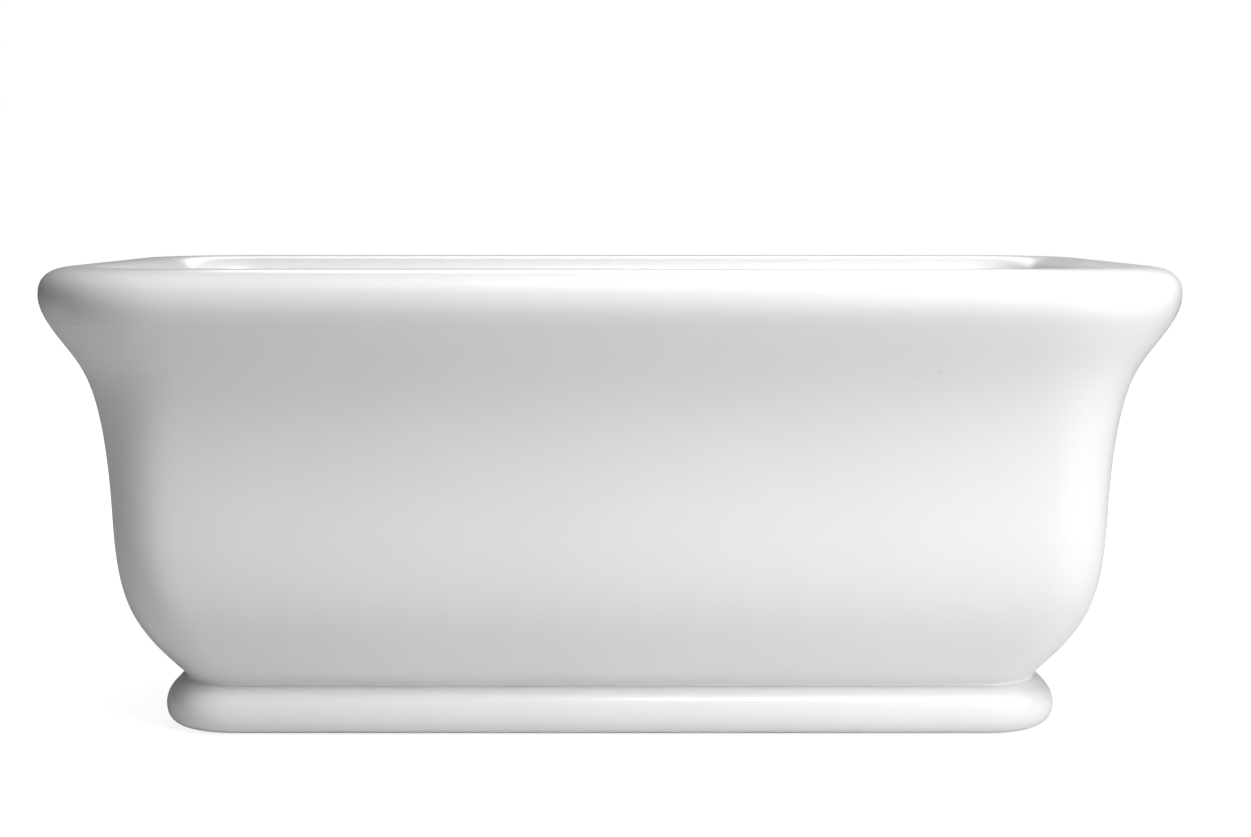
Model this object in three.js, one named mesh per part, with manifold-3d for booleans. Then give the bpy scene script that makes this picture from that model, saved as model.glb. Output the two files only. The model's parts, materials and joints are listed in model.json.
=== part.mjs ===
// Freestanding double-ended bathtub with a rolled rim, a bellied body and a half-round plinth.
// It is built as a moulded bath is built: an inner basin whose rim rolls over and out, an outer shell
// bonded up under the roll, a hollow plinth ring below the groove, a plywood baseboard under the floor,
// two steel cradle bars on screw-adjusted feet, and a push-to-close waste with an overflow.
// Millimetres. +X along the bath, +Y towards the overflow side, +Z up. Origin on the floor, under the middle.
import * as THREE from "three";
import { mergeVertices } from "three/addons/utils/BufferGeometryUtils.js";
import Module from "manifold-3d";

const wasm = await Module();
wasm.setup();

// ---- Driving dimensions ------------------------------------------------------------------------
const LENGTH = 1600; // over the rim
const WIDTH = 850; // over the rim
const HEIGHT = 670; // floor to crown of the rim
const A = LENGTH / 2;
const B = WIDTH / 2;
const WALL = 6; // moulded sheet with its glass-fibre backing
const GAP = 0.3; // between neighbouring pieces

// Outside of the body: inset from the rim's outermost line, against height.
const BODY_Z = [74, 100, 130, 165, 210, 270, 350, 430, 490, 530, 565, 600, 630];
const BODY_D = [181.1, 159.9, 138.2, 119.0, 104.5, 96.1, 92.1, 84.1, 70.5, 53.3, 30.1, 8.3, 0];
// Outside corner radius in plan, against height.
const CORNER_Z = [70, 100, 130, 165, 220, 320, 425, 500, 560, 600, 630];
const CORNER_R = [80, 88, 94, 98, 100, 103, 114, 141, 176, 197, 205];

// Rolled rim: two quarter superellipses that meet on the crown.
const ROLL_Z = 630; // height of the outermost line
const ROLL_CROWN_D = 56; // inset of the crown
const ROLL_INNER_D = 108; // inset where the roll meets the inner wall
const ROLL_INNER_Z = 634;
const ROLL_R = 205; // corner radius at the outermost line
const SEAM_Z = 596; // the basin's lip ends here and the outer shell begins

// Inner wall and floor: height, inset at the ends, inset at the sides, corner radius.
const WALL_PATH = [
  [634, 108, 108, 97],
  [600, 116, 113.5, 101],
  [540, 135, 125, 108],
  [460, 165, 140, 120],
  [380, 198, 152, 132],
  [300, 233, 164, 142],
  [230, 266, 177, 150],
  [180, 295, 193, 152],
  [147, 327, 215, 150],
  [128, 367, 245, 138],
  [120, 412, 281, 112],
  [117.6, 500, 322, 84],
  [116.2, 640, 358, 56],
];
const FLOOR_Z = 115; // flat ring round the waste
const FLOOR_RING_R = 42;
const UNDERSIDE_Z = 109; // flat underside of the floor, where the baseboard is bonded

// Plinth section: inset and height, from the inner edge of its top flange round the outside.
const FLANGE_D = 212; // inner edge of the shell's and the plinth's meeting flanges
const FLANGE_TOP = 76.6;
const FLANGE_JOINT = 70.6;
const PLINTH_SECTION = [
  [FLANGE_D, 70.2], [181.5, 70.2], [177, 69.4], [170.5, 66.6], [163, 61.8], [157, 55.3], [153, 47.3], [151, 38],
  [151.3, 28], [153, 20.5], [156.8, 13.5], [162.8, 8.3], [170.5, 4.7], [178.5, 2.3], [186, 0.8], [192, 0],
  [206, 0], [206, 5], [188, 5.2], [180, 7], [172, 10], [165.3, 14.4], [160.7, 21], [158, 29.5],
  [157, 38], [158.8, 45.4], [162.3, 51.8], [168, 57.4], [174.5, 61.6], [181, 64.2], [FLANGE_D, 64.2],
];
const plinthCorner = (d) => 100 - 0.7 * (d - 151);

// Baseboard and cradle
const BOARD_TOP = 108.7;
const BOARD_T = 18;
const BOARD_A = 445;
const BOARD_B = 165;
const BAR_X = 380;
const BAR_W = 40;
const BAR_H = 30;
const BAR_WALL = 2.5;
const BAR_HALF = 205;
const BAR_TOP = BOARD_TOP - BOARD_T - GAP;
const BAR_BOTTOM = BAR_TOP - BAR_H;
const FOOT_Y = 150;
const STUD_R = 5.95; // M12
const FOOT_PAD_R = 26;

// Waste and overflow
const HOLE_R = 26;
const OVERFLOW_Z = 530;
const OVERFLOW_HOLE_R = 24;
const PIPE_R = 14;
const PIPE_BORE = 12;
const PORT_Z = 80;

// ---- Shape helpers -----------------------------------------------------------------------------

// Cubic spline through the points: natural at the start, and of the given slope at the end (natural if none).
function spline(xs, ys, endSlope) {
  const n = xs.length;
  const a = new Array(n).fill(0), b = new Array(n).fill(1), c = new Array(n).fill(0), r = new Array(n).fill(0);
  for (let i = 1; i < n - 1; i++) {
    const h0 = xs[i] - xs[i - 1], h1 = xs[i + 1] - xs[i];
    a[i] = h0; b[i] = 2 * (h0 + h1); c[i] = h1;
    r[i] = 6 * ((ys[i + 1] - ys[i]) / h1 - (ys[i] - ys[i - 1]) / h0);
  }
  if (endSlope !== undefined) {
    const h = xs[n - 1] - xs[n - 2];
    a[n - 1] = h; b[n - 1] = 2 * h;
    r[n - 1] = 6 * (endSlope - (ys[n - 1] - ys[n - 2]) / h);
  }
  for (let i = 1; i < n; i++) {
    const m = a[i] / b[i - 1];
    b[i] -= m * c[i - 1];
    r[i] -= m * r[i - 1];
  }
  const k = new Array(n).fill(0);
  k[n - 1] = r[n - 1] / b[n - 1];
  for (let i = n - 2; i >= 0; i--) k[i] = (r[i] - c[i] * k[i + 1]) / b[i];
  return (x) => {
    let i = 0;
    while (i < n - 2 && x > xs[i + 1]) i++;
    const h = xs[i + 1] - xs[i], t = (xs[i + 1] - x) / h, u = (x - xs[i]) / h;
    return t * ys[i] + u * ys[i + 1] + ((t * t * t - t) * k[i] + (u * u * u - u) * k[i + 1]) * h * h / 6;
  };
}

const bodyInset = spline(BODY_Z, BODY_D, 0);
const cornerSpline = spline(CORNER_Z, CORNER_R, 0);
const bodyCorner = (z) => cornerSpline(Math.max(CORNER_Z[0], Math.min(ROLL_Z, z)));

// A point of the body's outside, moved inwards by t along its normal: [inset, height, corner radius].
function bodyOffset(z, t) {
  const s = (bodyInset(z + 0.5) - bodyInset(z - 0.5)) / 1.0;
  const n = Math.hypot(1, s);
  const d = bodyInset(z) + t / n;
  return [d, z - (t * s) / n, Math.max(20, bodyCorner(z) - (d - bodyInset(z)))];
}

// The rolled rim at t from 0 (outermost line) over the crown to 1 (inner wall).
function roll(t) {
  const ang = t * Math.PI;
  const c = Math.cos(ang), s = Math.sin(ang);
  if (ang <= Math.PI / 2)
    return [ROLL_CROWN_D - ROLL_CROWN_D * Math.pow(c, 0.8), ROLL_Z + (HEIGHT - ROLL_Z) * Math.pow(s, 0.8)];
  return [ROLL_CROWN_D + (ROLL_INNER_D - ROLL_CROWN_D) * Math.pow(-c, 0.85), ROLL_INNER_Z + (HEIGHT - ROLL_INNER_Z) * Math.pow(Math.max(0, s), 0.85)];
}

// One level of a rounded rectangle: points in order, with each point's outward direction.
function roundedRect(a, b, r, z, nc) {
  const out = [];
  const corners = [[a - r, -(b - r), -90], [a - r, b - r, 0], [-(a - r), b - r, 90], [-(a - r), -(b - r), 180]];
  for (const [cx, cy, from] of corners)
    for (let i = 0; i <= nc; i++) {
      const th = ((from + (90 * i) / nc) * Math.PI) / 180;
      out.push({ x: cx + r * Math.cos(th), y: cy + r * Math.sin(th), z, hx: Math.cos(th), hy: Math.sin(th) });
    }
  return out;
}

function buffer(positions, triangles) {
  const g = new THREE.BufferGeometry();
  g.setAttribute("position", new THREE.BufferAttribute(new Float32Array(positions), 3));
  g.setIndex(triangles);
  return g;
}

function signedVolume(g) {
  const p = g.getAttribute("position"), ix = g.index;
  let v = 0;
  const n = ix ? ix.count : p.count;
  const at = (i) => new THREE.Vector3().fromBufferAttribute(p, ix ? ix.getX(i) : i);
  for (let i = 0; i < n; i += 3) v += at(i).dot(at(i + 1).cross(at(i + 2))) / 6;
  return v;
}

// The geometry with only positions, shared vertices merged and faces pointing out.
function closed(geometry) {
  const g = geometry.clone();
  for (const name of Object.keys(g.attributes)) if (name !== "position") g.deleteAttribute(name);
  const m = mergeVertices(g, 1e-3);
  const keep = [];
  const ix = m.index.array;
  for (let i = 0; i < ix.length; i += 3)
    if (ix[i] !== ix[i + 1] && ix[i + 1] !== ix[i + 2] && ix[i] !== ix[i + 2]) keep.push(ix[i], ix[i + 1], ix[i + 2]);
  m.setIndex(keep);
  if (signedVolume(m) < 0) {
    for (let i = 0; i < keep.length; i += 3) [keep[i + 1], keep[i + 2]] = [keep[i + 2], keep[i + 1]];
    m.setIndex(keep);
  }
  return m;
}

function solid(geometry) {
  const m = closed(geometry);
  return new wasm.Manifold(new wasm.Mesh({
    numProp: 3,
    vertProperties: new Float32Array(m.getAttribute("position").array),
    triVerts: new Uint32Array(m.index.array),
  }));
}

function geometryOf(manifold) {
  const mesh = manifold.getMesh();
  const n = mesh.numProp;
  const v = new Float32Array(mesh.numVert * 3);
  for (let i = 0; i < mesh.numVert; i++) for (let k = 0; k < 3; k++) v[3 * i + k] = mesh.vertProperties[n * i + k];
  const g = new THREE.BufferGeometry();
  g.setAttribute("position", new THREE.BufferAttribute(v, 3));
  g.setIndex(new THREE.BufferAttribute(new Uint32Array(mesh.triVerts), 1));
  return g;
}

const cut = (g, ...tools) => geometryOf(tools.reduce((m, t) => m.subtract(solid(t)), solid(g)));
const join = (g, ...more) => geometryOf(more.reduce((m, t) => m.add(solid(t)), solid(g)));

// A ring whose closed section [inset, height, corner radius] runs round a rounded rectangle.
function ringSolid(section, nc) {
  const rings = section.map(([d, z, r]) => roundedRect(A - d, B - d, r, z, nc));
  const S = rings[0].length, K = rings.length, pos = [], tri = [];
  for (const ring of rings) for (const p of ring) pos.push(p.x, p.y, p.z);
  for (let k = 0; k < K; k++)
    for (let s = 0; s < S; s++) {
      const a = k * S + s, b = k * S + ((s + 1) % S), c = ((k + 1) % K) * S + ((s + 1) % S), d = ((k + 1) % K) * S + s;
      tri.push(a, b, c, a, c, d);
    }
  return buffer(pos, tri);
}

// A solid of revolution about Z from [radius, height] pairs: on the axis at both ends, or a closed loop.
function lathe(profile, segments = 20, loop = false) {
  const pts = profile.map(([r, z]) => new THREE.Vector2(r, z));
  if (loop) pts.push(pts[0].clone());
  return new THREE.LatheGeometry(pts, segments).rotateX(Math.PI / 2);
}
const disc = (r, z0, z1, segments = 20) => lathe([[0, z0], [r, z0], [r, z1], [0, z1]], segments);
const tube = (r0, r1, z0, z1, segments = 20) => lathe([[r0, z0], [r1, z0], [r1, z1], [r0, z1]], segments, true);

function box(x0, x1, y0, y1, z0, z1) {
  return new THREE.BoxGeometry(x1 - x0, y1 - y0, z1 - z0).translate((x0 + x1) / 2, (y0 + y1) / 2, (z0 + z1) / 2);
}

// A hexagonal prism across flats af, with a round hole if one is given.
function hex(af, hole, z0, z1, holeSegments = 6) {
  const s = new THREE.Shape();
  const r = af / Math.sqrt(3);
  for (let i = 0; i < 6; i++) {
    const t = (i * Math.PI) / 3;
    if (i) s.lineTo(r * Math.cos(t), r * Math.sin(t));
    else s.moveTo(r * Math.cos(t), r * Math.sin(t));
  }
  s.closePath();
  if (hole) s.holes.push(new THREE.Path().absarc(0, 0, hole, 0, 2 * Math.PI, true));
  return new THREE.ExtrudeGeometry(s, { depth: z1 - z0, bevelEnabled: false, curveSegments: holeSegments }).translate(0, 0, z0);
}

// ---- Materials ---------------------------------------------------------------------------------
const paint = (color, roughness, metalness = 0) => new THREE.MeshStandardMaterial({ color, roughness, metalness });
const ACRYLIC = () => paint(0xf3f4f3, 0.22);
const PLYWOOD = () => paint(0xc49a63, 0.7);
const GALVANISED = () => paint(0xa9adb0, 0.45, 0.9);
const ZINC = () => paint(0xc2c4c6, 0.35, 0.95);
const CHROME = () => paint(0xd8dadc, 0.08, 1.0);
const RUBBER = () => paint(0x1c1c1d, 0.8);
const PVC = () => paint(0xe6e6e2, 0.45);
const BLACK_NYLON = () => paint(0x222325, 0.55);
const BRASS = () => paint(0xb08d4a, 0.3, 0.9);

const root = new THREE.Group();
root.name = "freestanding_bathtub";
function add(parent, name, geometry, material) {
  const mesh = new THREE.Mesh(closed(geometry), material);
  mesh.name = name;
  parent.add(mesh);
  return mesh;
}

// ---- Shells ------------------------------------------------------------------------------------
const shells = new THREE.Group();
root.add(shells);
const NC = 6; // facets round each plan corner

// The basin's show face, level by level, from the end of its lip over the roll and down to the floor.
function basinPath() {
  const path = [];
  for (const z of [SEAM_Z, 606, 617]) path.push([z, bodyInset(z), bodyInset(z), bodyCorner(z)]);
  for (const t of [0, 0.14, 0.26, 0.38, 0.5, 0.62, 0.74, 0.86]) {
    const [d, z] = roll(t);
    path.push([z, d, d, ROLL_R - d]);
  }
  const w = WALL_PATH.map((p) => [...p]);
  return [...path, ...w];
}

function basinGeometry() {
  const path = basinPath();
  const rings = path.map(([z, dx, dy, r]) => roundedRect(A - dx, B - dy, Math.min(r, B - dy - 0.5), z, NC));
  rings.push(roundedRect(FLOOR_RING_R, FLOOR_RING_R, FLOOR_RING_R - 0.01, FLOOR_Z, NC));
  const K = rings.length, S = rings[0].length;
  const pos = [], tri = [];
  for (const ring of rings) for (const p of ring) pos.push(p.x, p.y, p.z);
  for (let k = 0; k < K; k++)
    for (let s = 0; s < S; s++) {
      const p = rings[k][s];
      const before = rings[Math.max(0, k - 1)][s], after = rings[Math.min(K - 1, k + 1)][s];
      const along = new THREE.Vector3(after.x - before.x, after.y - before.y, after.z - before.z).normalize();
      const n = new THREE.Vector3(-p.hy, p.hx, 0).cross(along).normalize();
      let z = p.z - WALL * n.z;
      // the floor is built up to a flat underside
      if (k >= K - 4) z = UNDERSIDE_Z;
      pos.push(p.x - WALL * n.x, p.y - WALL * n.y, z);
    }
  const N = K * S;
  for (let k = 0; k < K - 1; k++)
    for (let s = 0; s < S; s++) {
      const s1 = (s + 1) % S;
      const a = k * S + s, b = k * S + s1, c = (k + 1) * S + s1, d = (k + 1) * S + s;
      tri.push(a, b, c, a, c, d);
      tri.push(N + a, N + c, N + b, N + a, N + d, N + c);
    }
  for (let s = 0; s < S; s++) {
    const s1 = (s + 1) % S;
    tri.push(s, N + s, N + s1, s, N + s1, s1);
  }
  const top = pos.length / 3;
  pos.push(0, 0, FLOOR_Z, 0, 0, UNDERSIDE_Z);
  for (let s = 0; s < S; s++) {
    const s1 = (s + 1) % S;
    tri.push(top, (K - 1) * S + s, (K - 1) * S + s1);
    tri.push(top + 1, N + (K - 1) * S + s1, N + (K - 1) * S + s);
  }
  return buffer(pos, tri);
}

// The overflow's frame lies on the inner wall: its z points into the bath, its y up the wall.
const OVERFLOW_Y = B - (125 + ((140 - 125) * (540 - OVERFLOW_Z)) / 80);
const WALL_LEAN = Math.atan((140 - 125) / 80);
const overflow = new THREE.Group();
overflow.position.set(0, OVERFLOW_Y, OVERFLOW_Z);
overflow.rotation.x = Math.PI / 2 - WALL_LEAN;
overflow.updateMatrix();

const drainHole = disc(HOLE_R, UNDERSIDE_Z - 5, FLOOR_Z + 5, 20);
const overflowHole = disc(OVERFLOW_HOLE_R, -20, 20, 20).applyMatrix4(overflow.matrix);
add(shells, "basin", cut(basinGeometry(), drainHole, overflowHole), ACRYLIC());

// The outer shell: bottom flange, body, and a tongue that reaches up behind the basin's lip.
function shellSection() {
  const s = [[FLANGE_D, FLANGE_JOINT, 80 - (FLANGE_D - 181)], [184.8, FLANGE_JOINT, 78]];
  const zs = [74.4, 88, 104, 124, 148, 178, 215, 265, 330, 390, 435, 470, 500, 525, 548, 572, SEAM_Z - 0.4];
  for (const z of zs) s.push([bodyInset(z), z, bodyCorner(z)]);
  const tongue = WALL + 2 * GAP;
  for (const z of [SEAM_Z - 0.4, 606, 614]) s.push(bodyOffset(z, tongue));
  for (const z of [614, 604]) s.push(bodyOffset(z, tongue + 4));
  s.push(bodyOffset(590, 9));
  for (const z of [572, 548, 525, 500, 470, 435, 390, 330, 265, 215, 178, 148, 124, 104, 88]) s.push(bodyOffset(z, WALL));
  s.push([188, FLANGE_TOP, 74], [FLANGE_D, FLANGE_TOP, 80 - (FLANGE_D - 181)]);
  return s;
}
// Screw holes through the two meeting flanges, one beside each bracket
const SCREW_AT = [];
for (const sx of [-1, 1]) for (const sy of [-1, 1]) SCREW_AT.push([sx * (BAR_X + 58), sy * 226]);
const screwHoles = () => SCREW_AT.map(([x, y]) => disc(2.9, 55, 85, 8).translate(x, y, 0));
add(shells, "outer_shell", cut(ringSolid(shellSection(), NC), ...screwHoles()), ACRYLIC());
add(shells, "plinth", cut(ringSolid(PLINTH_SECTION.map(([d, z]) => [d, z, plinthCorner(d)]), NC), ...screwHoles()), ACRYLIC());

// ---- Baseboard and cradle ----------------------------------------------------------------------
const support = new THREE.Group();
root.add(support);
const BOARD_SCREW_Y = 70;
{
  const s = new THREE.Shape();
  const r = 60, a = BOARD_A, b = BOARD_B, n = 50, depth = -50; // notch for the waste, open to the back
  s.moveTo(-a + r, -b);
  s.lineTo(a - r, -b);
  s.absarc(a - r, -b + r, r, -Math.PI / 2, 0, false);
  s.lineTo(a, b - r);
  s.absarc(a - r, b - r, r, 0, Math.PI / 2, false);
  s.lineTo(n, b);
  s.lineTo(n, depth);
  s.lineTo(-n, depth);
  s.lineTo(-n, b);
  s.lineTo(-a + r, b);
  s.absarc(-a + r, b - r, r, Math.PI / 2, Math.PI, false);
  s.lineTo(-a, -b + r);
  s.absarc(-a + r, -b + r, r, Math.PI, 1.5 * Math.PI, false);
  const g = new THREE.ExtrudeGeometry(s, { depth: BOARD_T, bevelEnabled: false, curveSegments: 6 }).translate(0, 0, BOARD_TOP - BOARD_T);
  const holes = [];
  for (const sx of [-1, 1]) for (const sy of [-1, 1]) holes.push(disc(2.6, BOARD_TOP - BOARD_T - 2, BOARD_TOP - 3.5, 8).translate(sx * BAR_X, sy * BOARD_SCREW_Y, 0));
  add(support, "baseboard", cut(g, ...holes), PLYWOOD());
}

const BOLT_Y = 178, BOLT_Z = 82.5;
for (const [side, sx] of [["left", -1], ["right", 1]]) {
  const x = sx * BAR_X;
  const outer = box(x - BAR_W / 2, x + BAR_W / 2, -BAR_HALF, BAR_HALF, BAR_BOTTOM, BAR_TOP);
  const tools = [box(x - BAR_W / 2 + BAR_WALL, x + BAR_W / 2 - BAR_WALL, -BAR_HALF - 5, BAR_HALF + 5, BAR_BOTTOM + BAR_WALL, BAR_TOP - BAR_WALL)];
  for (const sy of [-1, 1]) {
    tools.push(disc(7, BAR_BOTTOM - 3, BAR_BOTTOM + BAR_WALL + 3, 10).translate(x, sy * FOOT_Y, 0));
    tools.push(disc(2.9, BAR_BOTTOM - 3, BAR_TOP + 3, 8).translate(x, sy * BOARD_SCREW_Y, 0));
    tools.push(disc(3.4, -12, 12, 8).rotateY(Math.PI / 2).translate(x + (sx * BAR_W) / 2, sy * BOLT_Y, BOLT_Z));
  }
  add(support, `cradle_bar_${side}`, cut(outer, ...tools), GALVANISED());
}

// Wood screws up through each bar into the baseboard
let n = 0;
for (const sx of [-1, 1])
  for (const sy of [-1, 1]) {
    n++;
    const under = BAR_BOTTOM - GAP;
    add(support, `board_screw_${n}`, lathe([[0, under - 3.2], [3, under - 3.0], [5, under - 1.4], [5.4, under], [2.3, under], [2.3, BOARD_TOP - 8], [0, BOARD_TOP - 4.5]], 8).translate(sx * BAR_X, sy * BOARD_SCREW_Y, 0), ZINC());
  }

// Angle brackets from the bars' outer sides out over the shell's bottom flange
n = 0;
for (const sx of [-1, 1])
  for (const sy of [-1, 1]) {
    n++;
    const x0 = BAR_X + BAR_W / 2 + GAP;
    const lie = FLANGE_TOP + GAP;
    const web = box(x0, x0 + 3, 158, 235, lie, 90);
    const foot = box(x0, x0 + 49, 215, 235, lie, lie + 3);
    const g = cut(join(web, foot), disc(3.4, -6, 12, 8).rotateY(Math.PI / 2).translate(x0, BOLT_Y, BOLT_Z), disc(2.9, 70, 90, 8).translate(BAR_X + 58, 226, 0));
    const place = (h) => {
      const m = new THREE.Matrix4().makeScale(sx, sy, 1);
      const c = closed(h);
      c.applyMatrix4(m);
      return closed(c);
    };
    add(support, `plinth_bracket_${n}`, place(g), GALVANISED());
    // hexagon-headed screw through the web into the bar's side wall
    const hx = x0 + 3 + GAP;
    const bolt = join(hex(10, 0, hx, hx + 4.2), disc(2.9, BAR_X + BAR_W / 2 - 12, hx + 0.5, 8));
    const lying = bolt.rotateY(Math.PI / 2).translate(0, BOLT_Y, BOLT_Z);
    add(support, `bracket_bolt_${n}`, place(lying), ZINC());
    // pan-headed screw down through the bracket's foot and both flanges
    const top = lie + 3 + GAP;
    add(support, `flange_screw_${n}`, lathe([[0, 57], [1.2, 59.5], [2.5, 61.5], [2.5, top], [5.2, top], [4.9, top + 1.9], [3.4, top + 3.1], [0, top + 3.4]], 8).translate(sx * (BAR_X + 58), sy * 226, 0), ZINC());
  }

// ---- Levelling feet ----------------------------------------------------------------------------
const feet = new THREE.Group();
root.add(feet);
const WELD_NUT_H = 9.7;
n = 0;
for (const sx of [-1, 1])
  for (const sy of [-1, 1]) {
    n++;
    const foot = new THREE.Group();
    foot.position.set(sx * BAR_X, sy * FOOT_Y, 0);
    feet.add(foot);
    add(foot, `foot_pad_${n}`, lathe([[0, 0], [FOOT_PAD_R - 1.5, 0], [FOOT_PAD_R, 1.5], [FOOT_PAD_R, 5.5], [FOOT_PAD_R - 2, 7], [14, 9], [11.5, 13], [10.8, 21], [6.3, 21], [6.3, 8], [0, 8]], 18), BLACK_NYLON());
    const stud = join(lathe([[0, 8.4], [4.6, 8.4], [STUD_R, 9.8], [STUD_R, 84], [4.8, 85.6], [0, 85.6]], 12), hex(17, 0, 23.5, 30.5));
    add(foot, `foot_stud_${n}`, stud, ZINC());
    const top = BAR_BOTTOM - GAP;
    add(foot, `weld_nut_${n}`, hex(19, STUD_R + 0.35, top - WELD_NUT_H, top), ZINC());
    add(foot, `lock_nut_${n}`, hex(19, STUD_R + 0.35, top - WELD_NUT_H - GAP - 6, top - WELD_NUT_H - GAP), ZINC());
  }

// ---- Waste -------------------------------------------------------------------------------------
const waste = new THREE.Group();
root.add(waste);

// flange: dished disc, threaded body, and a cross with a threaded hub
{
  const bodyRing = lathe([[23, 92], [23, 117], [34.2, 117], [35, 117.8], [34.6, 119.4], [32.5, 120.3], [26.2, 120.3], [19.2, 116.2], [19.2, 92]], 28, true);
  const bars = [box(-19.8, 19.8, -1.6, 1.6, 94, 98), box(-1.6, 1.6, -19.8, 19.8, 94, 98), disc(6.5, 94, 98, 16)];
  add(waste, "waste_flange", cut(join(bodyRing, ...bars), disc(3.4, 90, 102, 12)), CHROME());
}
add(waste, "flange_seal", tube(26.4, 33.5, FLOOR_Z + 0.2, 116.7, 24), RUBBER());
add(waste, "clamp_gasket", tube(24, 35.5, 105.1, UNDERSIDE_Z - 0.3, 24), RUBBER());

// body: clamping flange, barrel, side port towards the overflow, threaded outlet
{
  const along = (g) => g.rotateX(-Math.PI / 2); // +Z to +Y
  const shape = join(disc(36, 99.4, 104.8, 28), disc(28, 57, 100, 24), disc(23.5, 43.6, 58, 24), along(disc(17.5, 9, 58, 20)).translate(0, 0, PORT_Z), along(disc(21.3, 6, 37, 16)).translate(0, 0, PORT_Z));
  add(waste, "waste_body", cut(shape, disc(23.6, 91.2, 110, 24), disc(19.5, 40, 92, 24), along(disc(14.6, 36, 70, 16)).translate(0, 0, PORT_Z), along(disc(10.8, 12, 38, 12)).translate(0, 0, PORT_Z)), PVC());
}
add(waste, "tailpiece", tube(17, 19.1, 6, 62, 20), PVC());
add(waste, "tail_washer", lathe([[19.5, 40.4], [23.2, 40.4], [23.2, 43.3], [19.9, 43.3]], 20, true), RUBBER());
{
  const ribs = [];
  for (let i = 0; i < 8; i++) ribs.push(box(28.5, 31.5, -2.4, 2.4, 35, 51).rotateZ((i * Math.PI) / 4));
  add(waste, "tail_nut", join(lathe([[19.5, 34], [29, 34], [30, 35], [30, 51.5], [23.9, 51.5], [23.9, 40], [19.5, 40]], 24, true), ...ribs), PVC());
}

// push-to-close stopper: fixed cartridge, and a cap, seal and plunger that rise together
add(waste, "stopper_cartridge", join(lathe([[0, 98.3], [8.2, 98.3], [8.2, 112.6], [4.5, 112.6], [4.5, 101], [0, 101]], 16), disc(3.1, 89, 99, 12)), BRASS());
add(waste, "stopper_plunger", disc(4.1, 101.4, 117.8, 14), BRASS());
add(waste, "stopper_seal", tube(4.6, 21.2, 118.1, 120.3, 24), RUBBER());
add(waste, "stopper_cap", lathe([[0, 118.1], [4.2, 118.1], [4.2, 120.6], [27.2, 120.6], [28, 121.4], [27.4, 122.6], [20, 124.1], [10, 125], [0, 125.3]], 28), CHROME());

// ---- Overflow ----------------------------------------------------------------------------------
root.add(overflow);
const SCREW_X = 16.5;
{
  // cover: domed face on a short skirt, cut away at the bottom to let the water in
  const shellCover = cut(lathe([[0, 12.6], [20, 11.9], [32, 9.6], [35.6, 6.6], [36, 4.6], [36, 0.6], [33, 0.6], [33, 4.8], [31, 7.2], [19, 9.4], [0, 10]], 28),
    box(-17, 17, -40, -24, -1, 6.2), disc(2.8, 4, 16, 10).translate(SCREW_X, 0, 0), disc(2.8, 4, 16, 10).translate(-SCREW_X, 0, 0));
  add(overflow, "overflow_cover", shellCover, CHROME());
  let i = 0;
  for (const sx of [-1, 1]) {
    i++;
    add(overflow, `overflow_screw_${i}`, lathe([[0, -23], [1.2, -22], [2.5, -20.5], [2.5, 12.4], [4.9, 12.4], [4.4, 13.9], [2.6, 14.9], [0, 15.2]], 12).translate(sx * SCREW_X, 0, 0), CHROME());
  }
  add(overflow, "overflow_gasket", tube(24.4, 33.5, -9.6, -6.7, 24), RUBBER());
}
// elbow: flange behind the wall, throat with two screw bosses, closed back, and a spigot that turns down
const SPIGOT_Y = 322;
{
  const inv = overflow.matrix.clone().invert();
  const down = (g) => g.translate(0, SPIGOT_Y, 0).applyMatrix4(inv);
  const shape = join(disc(33, -14.2, -9.9, 28), disc(23, -41, -10, 24), down(disc(17.5, 482.5, OVERFLOW_Z, 20)));
  const hollow = join(disc(20, -38, -5, 24), down(disc(12, 500, OVERFLOW_Z, 16)), down(disc(14.6, 470, 506, 16)));
  const bosses = join(disc(4.6, -39, -10, 12).translate(SCREW_X, 0, 0), disc(4.6, -39, -10, 12).translate(-SCREW_X, 0, 0));
  const holes = join(disc(2.85, -26, -5, 10).translate(SCREW_X, 0, 0), disc(2.85, -26, -5, 10).translate(-SCREW_X, 0, 0));
  const m = solid(shape).subtract(solid(hollow)).add(solid(bosses)).subtract(solid(holes));
  add(overflow, "overflow_elbow", geometryOf(m), PVC());
}

// pipe from the elbow down between the shells, under the floor's edge and in to the waste body
const plumbing = new THREE.Group();
root.add(plumbing);
{
  const pts = [[322, 504], [322, 488], [322, 470], [319.6, 448], [313.5, 412], [306.5, 360], [299.5, 295], [290.5, 235], [275.5, 182], [253, 140], [228, 112], [199, 92.5], [163, 82.5], [125, 80], [90, 80], [38, 80]];
  const curve = new THREE.CatmullRomCurve3(pts.map(([y, z]) => new THREE.Vector3(0, y, z)), false, "centripetal");
  const ring = new THREE.Shape().absarc(0, 0, PIPE_R, 0, 2 * Math.PI, false);
  ring.holes.push(new THREE.Path().absarc(0, 0, PIPE_BORE, 0, 2 * Math.PI, true));
  add(plumbing, "overflow_pipe", new THREE.ExtrudeGeometry(ring, { steps: 24, extrudePath: curve, bevelEnabled: false, curveSegments: 5 }), PVC());
}
// ribbed compression nuts at both ends of the pipe
function pipeNut() {
  const ribs = [];
  for (let i = 0; i < 8; i++) ribs.push(box(18.8, 20.9, -1.8, 1.8, 1.5, 14.5).rotateZ((i * Math.PI) / 4));
  return join(lathe([[14.6, 0], [19.4, 0], [20, 0.8], [20, 15.5], [17.9, 15.5], [17.9, 4], [14.6, 4]], 16, true), ...ribs);
}
add(plumbing, "pipe_nut_upper", pipeNut().translate(0, SPIGOT_Y, 475), PVC());
add(plumbing, "pipe_nut_lower", pipeNut().rotateX(Math.PI / 2).translate(0, 66, PORT_Z), PVC());

export default root;
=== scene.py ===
import json
import math

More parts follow.
